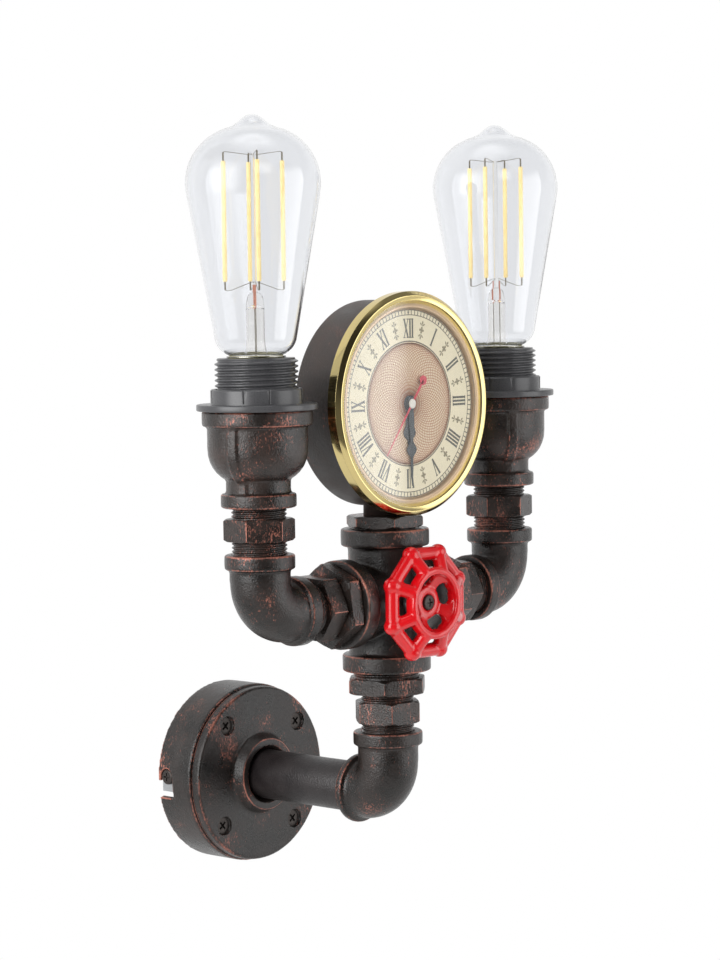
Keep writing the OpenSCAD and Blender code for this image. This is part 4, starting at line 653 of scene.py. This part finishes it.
def hexagon(name, flats, height, bore, turn):
    corner = fitting["cornerRound"]
    centre = (flats / 2 - corner) / math.cos(math.pi / 6)

    def cornerPoint(k, lean):
        middle = math.radians(turn + 60 * k)
        return np.array((centre * math.cos(middle) + corner * math.cos(middle + lean),
                         centre * math.sin(middle) + corner * math.sin(middle + lean)))

    leans = np.radians(np.linspace(-30, 30, 5))
    outline = []
    for k in range(6):
        outline += [cornerPoint(k, lean) for lean in leans]
        here, there = outline[-1], cornerPoint(k + 1, leans[0])
        outline += [here * (1 - t) + there * t for t in np.linspace(0, 1, 12)[1:-1]]
    outline = np.array(outline)
    reach = np.hypot(*outline.T)
    heading = outline / reach[:, None]

    def level(radius, z):
        return np.column_stack([heading * radius, np.full(len(outline), z)])

    face = flats / 2 + fitting["faceShare"] * (reach.max() - flats / 2)
    cut = np.linspace(0, fitting["cutDepth"], 5)
    rings = [level(bore, 0)]
    for z in [0, *cut[1:], *(height - cut[:0:-1]), height]:
        limit = face + min(z, height - z) / math.tan(math.radians(fitting["cutSlope"]))
        rings.append(level(np.minimum(reach, limit)[:, None], z))
    return skin(name, rings + [level(bore, height)], 40, closed=True)


# Each thread: where it starts and ends above the hexagon's lower face, radius, pitch and bore
def hexFitting(name, node, flats, height, bore, turn, threads, place):
    parts = [hexagon(name + "Hex", flats, height, bore, turn)]
    depth = fitting["threadDepth"]
    for start, end, radius, pitch, inside in threads:
        tube = threadTube(name + "Thread", radius, depth, pitch, end - start, inside, "antiqueWorn")
        tube.transform(shift(0, 0, start))
        parts.append(tube)
    mesh = joined(name, parts)
    mesh.transform(place)
    return standFor(name, markWear(mesh, 0.25, 1.1, len(parts[0].vertices)), "antiqueWorn", node)


def upright(x, z):
    return shift(x, layout["reach"], z)


def sideways(side, x):
    return shift(side * x, layout["reach"], layout["crossZ"]) @ spin(90 * -side, "Y")


def nipple(name, node, turn, below, above, place):
    height, bore = fitting["nippleHeight"], fitting["nippleBore"]
    thread = (fitting["smallThread"], fitting["pitch"], bore)
    overlap = fitting["overlap"]
    threads = [(-below, overlap, *thread), (height - overlap, height + above, *thread)]
    return hexFitting(name, node, fitting["nippleFlats"], height, bore, turn, threads, place)


def bushing(name, node, turn, above, place):
    height, bore = fitting["bushingHeight"], fitting["bushingBore"]
    start, end = height - fitting["overlap"], height + above
    threads = [(start, end, fitting["bigThread"], fitting["bigPitch"], bore)]
    return hexFitting(name, node, fitting["bushingFlats"], height, bore, turn, threads, place)


def plug(name, node, turn, below, place):
    height, bore = fitting["plugHeight"], fitting["boltHole"]
    thread = (fitting["bigThread"], fitting["bigPitch"], fitting["smallThread"])
    threads = [(-below, fitting["overlap"], *thread)]
    return hexFitting(name, node, fitting["plugFlats"], height, bore, turn, threads, place)


# Where each hexagon's lower face stands, or on the side arms its outer face, and how the risers are turned
seat = {"lowerNipple": 35.4, "lowerBushing": 50.2, "topPlug": 133.0, "riser": 132.4, "sideBushing": 43.7,
        "sideNipple": 55.2}
riserTurn = {"left": 24, "right": -40.5}
nipple("lowerNipple", "lower_nipple", turn=50, below=15.4, above=15.2, place=upright(0, seat["lowerNipple"]))
bushing("lowerBushing", "lower_bushing", turn=39, above=14.4, place=upright(0, seat["lowerBushing"]))
plug("topPlug", "top_plug", turn=57, below=11.8, place=upright(0, seat["topPlug"]))
for label, side in sides.items():
    bushing(label + "Bushing", label + "_bushing", turn=51.5 * -side, above=11.6,
            place=sideways(side, seat["sideBushing"]))
    nipple(label + "Nipple", label + "_nipple", turn=33 * -side, below=17.3, above=11.9,
           place=sideways(side, seat["sideNipple"]))
    nipple(label + "Riser", label + "_riser", turn=riserTurn[label], below=17.4, above=16.2,
           place=upright(side * layout["lampX"], seat["riser"]))
print("hexagon fittings screwed up")


# Lamp holders: a moulded sleeve with a coarse thread, its floor, and the ring nut below
holder = {"radius": 19.8, "depth": 1.5, "pitch": 2.53, "height": 45.5, "bore": 14.4, "floorLow": -33,
          "floorHigh": -30.5, "overlap": 0.3, "ringEdge": 0.25}
for label, side in sides.items():
    tube = threadTube(label + "Sleeve", holder["radius"], holder["depth"], holder["pitch"], holder["height"],
                      holder["bore"], "blackPhenolic", around=96, perTurn=10)
    tube.transform(shift(0, 0, -holder["height"]))
    low, high, wide = holder["floorLow"], holder["floorHigh"], holder["bore"] + holder["overlap"]
    base = lathe(label + "Floor", [(0, low), (wide, low), (wide, high), (0, high)], 64, 40)
    sleeve = joined(label + "Holder", [tube, base])
    sleeve.transform(upright(side * layout["lampX"], layout["holderTop"]))
    standFor(label + "Holder", sleeve, "blackPhenolic", label + "_holder")
    ring = tidyMesh(softened(label + "_holder_ring", holder["ringEdge"]), 35)
    standFor(label + "HolderRing", ring, "blackPhenolic", label + "_holder_ring")


# Bulbs: blown glass with a sealed tip, a stem, and four light sticks on thin wires, above the holder's top
bulb = {"wide": 32, "domeZ": 82, "domeR": 27, "domeEnd": 68, "footR": 10.5, "footX": 9.1, "footLift": 0.6,
        "wall": 0.9, "neck": 12.6, "neckLow": -13,
        "tip": [(11.2, 108.4), (8.8, 109.4), (6.6, 110.9), (4.7, 112.5), (2.9, 113.6), (1.3, 114.1),
                (0, 114.2)],
        "flareOut": [(11.4, -11), (11.4, -10.2), (8.6, -6), (6.2, -1), (4.9, 4)],
        "flareIn": [(10.6, -11), (8.1, -6), (5.7, -1), (4.45, 4), (4, 9)],
        "stemR": 4.4, "pressZ": 31, "rodR": 1.1, "rodTop": 96,
        "sticks": 4, "stickRing": 14, "stickR": 1.08, "stickEndR": 0.85, "stickLow": 36.1, "stickHigh": 92.6,
        "clipLow": 31.8, "clipHigh": 97, "wireR": 0.14, "clipR": 0.42,
        "leadR": 0.2, "leadLow": -8, "leadX": 1.7, "sealR": 0.35, "sealBelow": 7, "sealAbove": 3.5,
        "cement": [(12.65, -5), (13.2, -5), (13.2, 0.7), (12.65, 1.15)],
        "stickTurn": {"left": 53.5, "right": 180 - 70.7}}


def bulbGlass(name):
    foot = Vector((bulb["footX"], bulb["footR"] + bulb["footLift"]))
    dome = Vector((bulb["wide"] - bulb["domeR"], bulb["domeZ"]))
    run = dome - foot
    slope = math.degrees(math.acos((bulb["footR"] - bulb["domeR"]) / run.length) - math.atan2(run.y, run.x))
    walls = []
    for inset in (0, bulb["wall"]):
        neck, r = bulb["neck"] - inset, bulb["footR"] - inset
        start = -math.degrees(math.acos((neck - bulb["footX"]) / r))
        shoulder = arc(dome, bulb["domeR"] - inset, -slope, bulb["domeEnd"], 30)
        sunk = [(max(x - 0.4 * inset, 0), z - 0.92 * inset) for x, z in bulb["tip"]]
        tip = [tuple(point) for point in smoothLine(shoulder[-1:] + sunk, 3)]
        walls.append([(neck, bulb["neckLow"])] + arc(foot, r, start, -slope, 14) + shoulder[:-1] + tip)
    return lathe(name, walls[0] + walls[1][::-1], 112, closed=True)


# The stem: a flare sealed to the neck, a tube pressed shut over the lead wires, and a rod above
def bulbStem(name):
    press, top, rod, tube = (bulb[key] for key in ("pressZ", "rodTop", "rodR", "stemR"))
    outside = bulb["flareOut"] + [(tube, 9), (tube, press - 6), (3.6, press - 2), (2.4, press - 0.6)]
    outside += [(rod, press), (rod, top - 0.6), (0.6, top)]
    inside = bulb["flareIn"] + [(4, press - 8), (2.4, press - 6.4), (0.01, press - 6), (0.01, top)]
    return lathe(name, outside + inside[::-1], 64, 40, closed=True)


def lightSticks(name):
    low, high, wide, end = (bulb[key] for key in ("stickLow", "stickHigh", "stickR", "stickEndR"))
    profile = [(0, low), (end, low), (wide, low + 0.5), (wide, high - 0.5), (end, high), (0, high)]
    return ringOf(name, lathe(name, profile, 16, 50), bulb["sticks"], bulb["stickRing"], "phosphorSilicone")


# A wire and a clip at either end of each stick, as one path from the rod out to the stick
def stickWires(name):
    wires = []
    for inner, outer, end in ((bulb["pressZ"] + 4.8, bulb["clipLow"], bulb["stickLow"]),
                              (bulb["rodTop"] - 0.6, bulb["clipHigh"], bulb["stickHigh"])):
        inward = 1 if end > outer else -1
        wire = [(bulb["rodR"] + 0.2 - bulb["stickRing"], inner), (-3, outer + inward * 0.3), (-0.7, outer)]
        path = wire + [(0, outer + inward * 0.5), (0, end + inward * 0.3)]
        rings = []
        for i, (x, z) in enumerate(path):
            ahead = np.subtract(path[min(i + 1, len(path) - 1)], path[max(i - 1, 0)])
            ahead = ahead / np.hypot(*ahead)
            r = bulb["wireR"] if i < len(wire) else bulb["clipR"]
            rings.append([(x - ahead[1] * r * math.cos(t), r * math.sin(t), z + ahead[0] * r * math.cos(t))
                          for t in np.linspace(0, 2 * math.pi, 8, endpoint=False)])
        caps = [[tuple(np.mean(ring, axis=0))] * 8 for ring in (rings[0], rings[-1])]
        wires.append(skin(name, [caps[0]] + rings + [caps[1]], 50))
    return ringOf(name, joined(name + "Seed", wires), bulb["sticks"], bulb["stickRing"], "filamentWire")


# Two straight wires side by side
def wirePair(name, r, low, high):
    mesh = lathe(name, [(0, low), (r, low), (r, high), (0, high)], 8, 50)
    mesh.transform(shift(bulb["leadX"], 0, 0))
    other = mesh.copy()
    other.transform(spin(180))
    return joined(name, [mesh, other])


for label, side in sides.items():
    place = upright(side * layout["lampX"], layout["holderTop"])
    turned = place @ spin(bulb["stickTurn"][label])
    seal, sealTop = bulb["pressZ"] - bulb["sealBelow"], bulb["pressZ"] + bulb["sealAbove"]
    leads = wirePair(label + "Leads", bulb["leadR"], bulb["leadLow"], seal)
    seals = wirePair(label + "Seals", bulb["sealR"], seal, sealTop)
    cement = lathe(label + "Cement", bulb["cement"], 64, 40, closed=True)
    # each: mesh, material, place, and the solid that it stands for
    pieces = {
        "Glass": (bulbGlass(label + "Glass"), "bulbGlass", place, "_bulb_glass"),
        "Stem": (bulbStem(label + "Stem"), "stemGlass", place, "_bulb_stem"),
        "Sticks": (lightSticks(label + "Sticks"), "phosphorSilicone", turned, "_bulb_sticks"),
        "Wires": (stickWires(label + "Wires"), "filamentWire", turned, None),
        "Leads": (leads, "filamentWire", turned, None),
        "Seals": (seals, "dumetSeal", turned, None),
        "Cement": (cement, "capCement", place, None),
    }
    for part, (mesh, material, where, solid) in pieces.items():
        mesh.transform(where)
        if solid:
            standFor(label + part, mesh, material, label + solid)
        else:
            standFor(label + part, mesh, material, body=label + "_bulb")
print("lamps fitted")


# Clock: local x to the right, y up and z out of the dial. The bezel's radii go inwards, from the chamfer's
# upper edge over the lip and down the slope to the lens.
clock = {"drumR": 51, "drumFront": 14.5, "bezelR": 55.1, "bezelFront": 21.8, "chamfer": 2.12, "lipOut": 52.93,
         "lipIn": 52.6, "slopeEnd": 51.2, "seat": 50.6, "edgeRound": 0.25, "bandEdge": 0.3, "gap": 0.02,
         "lensFront": 21.3, "lensBack": 19.9, "lensR": 50.88, "lensFlat": 50.7, "lensEdge": 0.2,
         "dialFront": 17.1, "dialBack": 16.3, "dialHole": 4.1, "ringIn": 46.5, "ringTop": 50.0,
         "ringFoot": (47.6, 1.2), "ringRound": 1.1, "numeralIn": 32.4, "numeralOut": 41.4, "inkHeight": 0.03}
atClock = shift(0, layout["reach"], layout["clockZ"]) @ spin(90, "X")


def onClock(name, mesh, material, *stood, body=None):
    mesh.transform(atClock)
    return standFor(name, mesh, material, *stood, body=body)


# Spun bezel: a straight band, a wide chamfer, a narrow lip, and a slope down to the lens
def bezelProfile():
    back, front, glass = clock["drumFront"], clock["bezelFront"], clock["lensFront"]
    bore, wide, r = clock["drumR"] + clock["gap"], clock["bezelR"], clock["edgeRound"]
    band = [(bore, back), (wide - clock["bandEdge"], back), (wide, back + clock["bandEdge"])]
    band += arc((wide - r, front - clock["chamfer"]), r, 0, 45, 5)
    lip = arc((clock["lipOut"], front - r), r, 45, 90, 5) + arc((clock["lipIn"], front - r), r, 90, 118, 4)
    slope = [(clock["slopeEnd"], glass + 0.1), (clock["seat"], glass + 0.06)]
    under = glass + clock["gap"]
    return band + lip + slope + [(clock["seat"], under), (bore, under)]


def lensProfile():
    low, high, edge = clock["lensBack"] + 0.03, clock["lensFront"] - 0.01, clock["lensEdge"]
    return [(0, low), (clock["lensFlat"], low), (clock["lensR"], clock["lensBack"] + edge),
            (clock["lensR"], clock["lensFront"] - edge), (clock["lensFlat"], high), (0, high)]


# Sloping ring between dial and lens, with a rounded inner foot
def ringProfile():
    low, high, wide = clock["dialFront"] + clock["gap"], clock["lensBack"], clock["lensR"]
    footX, footZ = clock["ringFoot"]
    outside = [(clock["ringIn"], low), (wide, low), (wide, high), (clock["ringTop"], high)]
    return outside + arc((footX, clock["dialFront"] + footZ), clock["ringRound"], 60, 190, 6)


def dialProfile():
    low, high, hole, wide = (clock[key] for key in ("dialBack", "dialFront", "dialHole", "lensR"))
    return [(hole, low), (wide, low), (wide, high), (hole, high)]


bezelMesh = lathe("bezelSpinning", bezelProfile(), 192, 28, closed=True)
onClock("bezelSpinning", bezelMesh, "polishedBrass", "bezel")
onClock("lensPane", lathe("lensPane", lensProfile(), 160, 30), "lensGlass", "lens")
onClock("slopingRing", lathe("slopingRing", ringProfile(), 160, 30, closed=True), "goldRing", "dial_ring")
onClock("dialCard", lathe("dialCard", dialProfile(), 160, 30, closed=True), "dialCard", "dial_plate")


# Flat printed or cut shape: outlines in millimetres, given a thickness
def plate(name, outlines, low, high, angle=30):
    work = bmesh.new()
    for outline in outlines:
        points = np.asarray(outline, float) * mm
        following = np.roll(points, -1, 0)
        if (points[:, 0] * following[:, 1] - points[:, 1] * following[:, 0]).sum() < 0:
            points = points[::-1]
        front = [work.verts.new((x, y, high * mm)) for x, y in points]
        back = [work.verts.new((x, y, low * mm)) for x, y in points]
        work.faces.new(front)
        work.faces.new(back[::-1])
        for i in range(len(points)):
            j = (i + 1) % len(points)
            work.faces.new((back[i], back[j], front[j], front[i]))
    return shaded(written(work, bpy.data.meshes.new(name)), angle)


def stroke(a, b, width):
    a, b = np.array(a, float), np.array(b, float)
    along = (b - a) / np.hypot(*(b - a))
    across = np.array((-along[1], along[0])) * width / 2
    return [a - across, b - across, b + across, a + across]


# Roman numerals of thick and thin strokes, feet to the middle of the dial; I, V and X give each sign's width
letter = {"thick": 1.05, "thin": 0.5, "serif": 0.5, "margin": 0.1, "I": 1.75, "V": 3.9, "X": 4.1}


def numeralStrokes(text, low, high):
    x, shapes = -sum(letter[sign] for sign in text) / 2, []
    for sign in text:
        wide, margin = letter[sign], letter["margin"]
        left, right, middle = x + margin, x + wide - margin, x + wide / 2
        if sign == "I":
            shapes.append(stroke((middle, low), (middle, high), letter["thick"]))
            serifs = [(left, right, low), (left, right, high)]
        elif sign == "V":
            shapes += [stroke((left + 0.6, high), (middle + 0.1, low), letter["thick"]),
                       stroke((right - 0.5, high), (middle + 0.1, low), letter["thin"])]
            serifs = [(left, middle - 0.4, high), (middle + 0.6, right, high)]
        else:
            shapes += [stroke((left + 0.6, high), (right - 0.6, low), letter["thick"]),
                       stroke((right - 0.5, high), (left + 0.5, low), letter["thin"])]
            serifs = [(left, middle - 0.4, high), (middle + 0.5, right, high), (left, middle - 0.5, low),
                      (middle + 0.4, right, low)]
        shapes += [stroke((a, z), (b, z), letter["serif"]) for a, b, z in serifs]
        x += wide
    return shapes


ink = (clock["dialFront"], clock["dialFront"] + clock["inkHeight"])
numerals = []
for hour, text in enumerate(("XII", "I", "II", "III", "IIII", "V", "VI", "VII", "VIII", "IX", "X", "XI")):
    mesh = plate("numeral", numeralStrokes(text, clock["numeralIn"], clock["numeralOut"]), *ink)
    mesh.transform(spin(-30 * hour))
    numerals.append(mesh)
onClock("dialNumerals", joined("dialNumerals", numerals), "dialInk", body="clock_insert")

# Minute track: ticks at every half minute between the two printed circles, and a dot at every fifth minute
track = {"radius": 44.65, "ticks": 120, "tickLong": 2.4, "tickWide": 0.44, "dots": 12, "dotLong": 0.625,
         "dotWide": 0.55, "dotLift": 0.01}
tickEnd = track["tickLong"] / 2
tick = plate("tick", [stroke((-tickEnd, 0), (tickEnd, 0), track["tickWide"])], *ink)
ticks = ringOf("minuteTicks", tick, track["ticks"], track["radius"], "dialInk")
onClock("minuteTicks", ticks, "dialInk", body="clock_insert")
dot = plate("dot", [oval(0, 0, track["dotLong"], track["dotWide"], 8)], ink[0], ink[1] + track["dotLift"])
dots = ringOf("hourDots", dot, track["dots"], track["radius"], "dialInk")
onClock("hourDots", dots, "dialInk", body="clock_insert")

# Rosettes between the numerals: a flower of four petals, and at either end a bud on a stem between two
# leaves, each given as distance out, offset to the side, half length and half width
rosette = {"count": 12, "radius": 37, "turn": 15, "heart": 0.7, "petal": 0.65, "petalRing": 1.05,
           "bud": (3.8, 0, 0.9, 0.5), "stem": (2.2, 0, 1.0, 0.2), "leaf": (2.9, 1.05, 0.9, 0.42),
           "leafLean": 50}
sprig = [oval(0, 0, rosette["heart"], rosette["heart"], 10)]
for x, y in oval(0, 0, rosette["petalRing"], rosette["petalRing"], 4):
    sprig.append(oval(x, y, rosette["petal"], rosette["petal"], 10))
for end in (-1, 1):
    for out, offset, long, wide in (rosette["bud"], rosette["stem"]):
        sprig.append(oval(end * out, offset, long, wide, 10))
    out, offset, long, wide = rosette["leaf"]
    for side in (-1, 1):
        sprig.append(oval(end * out, side * offset, long, wide, 10, side * end * rosette["leafLean"]))
flowers = ringOf("rosettes", plate("rosette", sprig, *ink), rosette["count"], rosette["radius"], "paleInk")
flowers.transform(spin(rosette["turn"]))
onClock("dialRosettes", flowers, "paleInk", body="clock_insert")

# Guilloche: equal circles whose centres lie on a circle of nearly the same radius
guilloche = {"radius": 14.6, "points": 72, "width": 0.3, "count": 72, "ring": 15.2, "sink": 0.01}
loop = np.array(oval(0, 0, guilloche["radius"], guilloche["radius"], guilloche["points"]))
inner, outer = (loop * (1 + d * guilloche["width"] / 2 / guilloche["radius"]) for d in (-1, 1))
top = ink[1] - guilloche["sink"]
loopRings = [np.column_stack([edge, np.full(len(loop), z)])
             for edge, z in ((inner, ink[0]), (outer, ink[0]), (outer, top), (inner, top))]
engraved = skin("guillocheLoop", loopRings, 30, closed=True)
circles = ringOf("guilloche", engraved, guilloche["count"], guilloche["ring"], "redInk")
onClock("dialGuilloche", circles, "redInk", body="clock_insert")
print("dial printed")


# Hands: half outlines from root to tip as (half width, distance), rounded and mirrored, on hollow arbors
hands = {
    "hour": {"angle": 183, "low": 17.45, "hub": 4, "arborR": 2.5, "arborLow": 10.97, "bore": 1.55,
             "points": [(2.5, 0), (2.6, 4), (2.9, 7.5), (2.7, 10.4), (3.7, 12.4), (4.3, 14.3), (3.6, 16.2),
                        (1.6, 17.7), (1.0, 18.5), (1.3, 19.3), (0.05, 21)]},
    "minute": {"angle": 180, "low": 18.1, "hub": 3.3, "arborR": 1.5, "arborLow": 0.6, "bore": 0.75,
               "points": [(1.5, 0), (1.7, 5), (1.9, 10), (1.5, 13), (1.2, 17), (1.1, 18.6), (2.1, 20.2),
                          (3.2, 21.6), (3.4, 22.9), (2.6, 24.4), (1.3, 25.8), (0.8, 27.5), (0.85, 31),
                          (0.5, 36), (0.05, 40.4)]},
}
handSheet = {"thick": 0.3, "hubInset": 0.01, "hubPoints": 40}
for label, hand in hands.items():
    low, high = hand["low"], hand["low"] + handSheet["thick"]
    half = smoothLine(hand["points"], 4)
    outline = [(w, y) for w, y in half] + [(-w, y) for w, y in half[::-1]]
    circle = oval(0, 0, hand["hub"], hand["hub"], handSheet["hubPoints"])
    hub = plate(label + "Hub", [circle], low + handSheet["hubInset"], high - handSheet["hubInset"])
    cut = joined(label + "Hand", [plate(label + "Hand", [outline], low, high), hub])
    cut.transform(spin(-hand["angle"]))
    bore, arbor, end = hand["bore"], hand["arborR"], hand["arborLow"]
    wall = [(bore, end), (arbor, end), (arbor, high), (bore, high)]
    post = lathe(label + "Post", wall, 40, 40, closed=True)
    onClock(label + "Hand", joined(label + "HandAll", [cut, post]), "stampedHands", label + "_hand")

# Second hand: a tapering needle with a disc on its tail, on a pin under a domed cap
seconds = {"angle": 217, "low": 18.75, "length": 31, "tail": 14, "disc": 2.35, "pinLow": 16.6, "pinR": 0.7,
           "capR": 2.4, "capFoot": 0.1, "capWall": 0.45, "capDome": [(1.9, 0.7), (1.0, 0.83), (0, 0.85)]}
low, tail, tip = seconds["low"], seconds["tail"], seconds["length"]
blade = [(-0.55, -tail), (0.55, -tail), (0.5, 6), (0.22, tip), (-0.22, tip), (-0.5, 6)]
counter = oval(0, -tail, seconds["disc"], seconds["disc"], handSheet["hubPoints"])
needle = plate("needle", [blade, counter], low, low + handSheet["thick"])
needle.transform(spin(-seconds["angle"]))
foot, end, r = low + seconds["capFoot"], seconds["pinLow"], seconds["pinR"]
pin = lathe("secondPin", [(0, end), (r, end), (r, foot), (0, foot)], 24, 40)
onClock("secondHand", joined("secondHandAll", [needle, pin]), "redHand", "second_hand")
dome = [(r, low + z) for r, z in [(seconds["capR"], seconds["capWall"])] + seconds["capDome"]]
cap = lathe("secondCap", [(0, foot), (seconds["capR"], foot)] + dome, 40)
onClock("secondCap", cap, "knobPolystyrene", body="second_hand")
print("hands set")


# The other pieces keep their solids' shapes, merged and smoothed. Each: material, and the edges' rounding
keepers = {
    "wall_bracket": ("zincPlatedSteel", 0.2), "bracket_screws": ("blackOxideSteel", 0.12),
    "flange_screws": ("blackOxideSteel", 0.12), "wheel_screw": ("blackOxideSteel", 0.12),
    "terminal_block": ("mouldedNylon", 0.3), "arm_pipe": ("antiquePipe", 0.2),
    "clock_drum": ("antiqueDrum", 0),
    "drum_bolt": ("zincPlatedSteel", 0.2), "drum_nut": ("zincPlatedSteel", 0.2),
    "clock_case": ("mouldedCase", 0.2), "case_gasket": ("mouldedRubber", 0.3),
    "movement_box": ("mouldedCase", 0.25), "battery": ("batteryJacket", 0.3),
    "set_knob": ("knobPolystyrene", 0.2), "gland_nut": ("zincPlatedSteel", 0.2),
    "spindle": ("zincPlatedSteel", 0.2),
}
for label in sides:
    keepers.update({label + "_screw_shell": ("nickelPlate", 0), label + "_contact": ("springBrass", 0.15),
                    label + "_lead": ("leadSheath", 0), label + "_bulb_cap": ("nickelPlate", 0)})
for node, (material, edge) in keepers.items():
    first, *others = node.split("_")
    name = first + "".join(word.title() for word in others)
    standFor(name, shaded(softened(node, edge), 35), material, node)
print("other pieces:", len(keepers))


# Studio: pale floor, white surroundings that fall off behind the camera, and soft lamps. Sizes are in metres.
ground = {"half": 1.1, "z": -0.55, "shades": ("#f0f0ee", "#e9e9e7"), "whiteFrom": 0.1, "whiteTo": 1.045}


# Painted floor, faintly clouded. Seen by the camera, in shiny metal or through glass it turns white towards
# its edge, as the room is, so that no corner shows.
def paleFloor(name):
    material, tree, place = newMaterial(name)
    haze = addNode(tree, "ShaderNodeTexNoise", {"Vector": place, "Scale": 3})
    first, second = (toLinear(code) for code in ground["shades"])
    colour = addNode(tree, "ShaderNodeMix", {0: haze, 6: first, 7: second}, data_type="RGBA")
    shader = addNode(tree, "ShaderNodeBsdfPrincipled", {"Base Color": colour.outputs[2], "Roughness": 0.8})
    rays = addNode(tree, "ShaderNodeLightPath").outputs
    seen = rays["Is Camera Ray"]
    for ray in ("Is Glossy Ray", "Is Transmission Ray"):
        seen = addNode(tree, "ShaderNodeMath", {0: seen, 1: rays[ray]}, operation="MAXIMUM")
    flat = addNode(tree, "ShaderNodeVectorMath", {0: place, 1: (1, 1, 0)}, operation="MULTIPLY")
    out = addNode(tree, "ShaderNodeVectorMath", {0: flat}, operation="LENGTH").outputs["Value"]
    edge = addNode(tree, "ShaderNodeMapRange", {"Value": out, "From Min": ground["whiteFrom"],
                                                "From Max": ground["whiteTo"], "To Min": 0.45},
                   interpolation_type="SMOOTHSTEP")
    share = addNode(tree, "ShaderNodeMath", {0: seen, 1: edge}, operation="MULTIPLY")
    white = addNode(tree, "ShaderNodeEmission", {"Color": toLinear("#ffffff"), "Strength": 1.0})
    mixed = addNode(tree, "ShaderNodeMixShader", {0: share, 1: shader, 2: white})
    addNode(tree, "ShaderNodeOutputMaterial", {"Surface": mixed})
    return material


floor = bpy.data.meshes.new("floor")
half, z = ground["half"], ground["z"]
corners = [(-half, -half, z), (half, -half, z), (half, half, z), (-half, half, z)]
floor.from_pydata(corners, [], [(0, 1, 2, 3)])
floor.materials.append(paleFloor("paleFloor"))
floorPiece = newObject("floor", floor)

world = bpy.data.worlds.new("studio")
scene.world = world
world.use_nodes = True
tree = world.node_tree
tree.nodes.clear()
rays = addNode(tree, "ShaderNodeLightPath").outputs
heading = addNode(tree, "ShaderNodeTexCoord").outputs["Generated"]
facing = addNode(tree, "ShaderNodeVectorMath", {0: heading, 1: (0.73, 0.68, 0.1)}, operation="DOT_PRODUCT")
room = addNode(tree, "ShaderNodeMapRange",
               {"Value": facing.outputs["Value"], "From Min": -0.5, "From Max": 0.38, "To Min": 0.16},
               interpolation_type="SMOOTHSTEP")
# shiny surfaces see a darker ceiling in front of the wall, and glass is looked through at a paler room
up = addNode(tree, "ShaderNodeVectorMath", {0: heading, 1: (0, -0.6, 1)}, operation="DOT_PRODUCT")
ceiling = addNode(tree, "ShaderNodeMapRange",
                  {"Value": up.outputs["Value"], "From Min": 0.3, "From Max": 0.75, "To Min": 1,
                   "To Max": 0.25},
                  interpolation_type="SMOOTHSTEP")
mirrored = addNode(tree, "ShaderNodeMath", {0: room, 1: ceiling}, operation="MULTIPLY")
through = addNode(tree, "ShaderNodeMapRange", {"Value": room, "From Min": 0.16, "To Min": 0.5})
level = addNode(tree, "ShaderNodeMix", {0: rays["Is Glossy Ray"], 2: 0.3, 3: mirrored})
level = addNode(tree, "ShaderNodeMix", {0: rays["Is Transmission Ray"], 2: level, 3: through})
level = addNode(tree, "ShaderNodeMix", {0: rays["Is Camera Ray"], 2: level, 3: 1.0})
sky = addNode(tree, "ShaderNodeBackground", {"Color": toLinear("#ffffff"), "Strength": level})
addNode(tree, "ShaderNodeOutputWorld", {"Surface": sky})

# Each lamp: place, the point it looks at, width, height, power in watts, and the shares of its width and
# height over which it fades out. The right panel's edge falls in the middle of the clock's lens.
lamps = {
    "leftSoftbox": ((-1.44, 0.01, 0.5), (0, -0.11, 0.2), 1.9, 2.0, 68, 0.35, 0.35),
    "rightPanel": ((0.552, -1.227, 0.22), (0, -0.14, 0.19), 0.94, 1.6, 11.5, 0.025, 0.3),
    "frontSoftbox": ((-0.75, -1.6, 1.15), (0, -0.11, 0.15), 1.3, 1.0, 17, 0.4, 0.4),
    "topPanel": ((-0.1, -0.1, 1.5), (0, -0.11, 0.15), 1.4, 1.4, 10, 0.4, 0.4),
}
for name, (spot, target, wide, tall, power, *fades) in lamps.items():
    lamp = bpy.data.lights.new(name, "AREA")
    lamp.shape, lamp.size, lamp.size_y, lamp.energy = "RECTANGLE", wide, tall, power
    lamp.use_nodes = True
    tree = lamp.node_tree
    tree.nodes.clear()
    across = addNode(tree, "ShaderNodeNewGeometry").outputs["Parametric"]
    edges = addNode(tree, "ShaderNodeSeparateXYZ", {0: across}).outputs
    glow = []
    for edge, fade in zip((edges["X"], edges["Y"]), fades):
        inset = addNode(tree, "ShaderNodeMath", {0: edge, 1: 0.5}, operation="PINGPONG")
        glow.append(addNode(tree, "ShaderNodeMapRange", {"Value": inset, "From Max": fade},
                            interpolation_type="SMOOTHSTEP"))
    glow = addNode(tree, "ShaderNodeMath", {0: glow[0], 1: glow[1]}, operation="MULTIPLY")
    emitter = addNode(tree, "ShaderNodeEmission", {"Strength": glow})
    addNode(tree, "ShaderNodeOutputLight", {"Surface": emitter})
    lampObject = bpy.data.objects.new(name, lamp)
    lampObject.location = spot
    lampObject.rotation_euler = (Vector(target) - Vector(spot)).to_track_quat("-Z", "Y").to_euler()
    lampObject.visible_camera = False
    lampObject.visible_transmission = name != "leftSoftbox"  # it would burn out a bulb in front of it
    lampObject.visible_glossy = name != "frontSoftbox"  # a broad fill, with no shape of its own in the brass
    scene.collection.objects.link(lampObject)

print("studio lit")
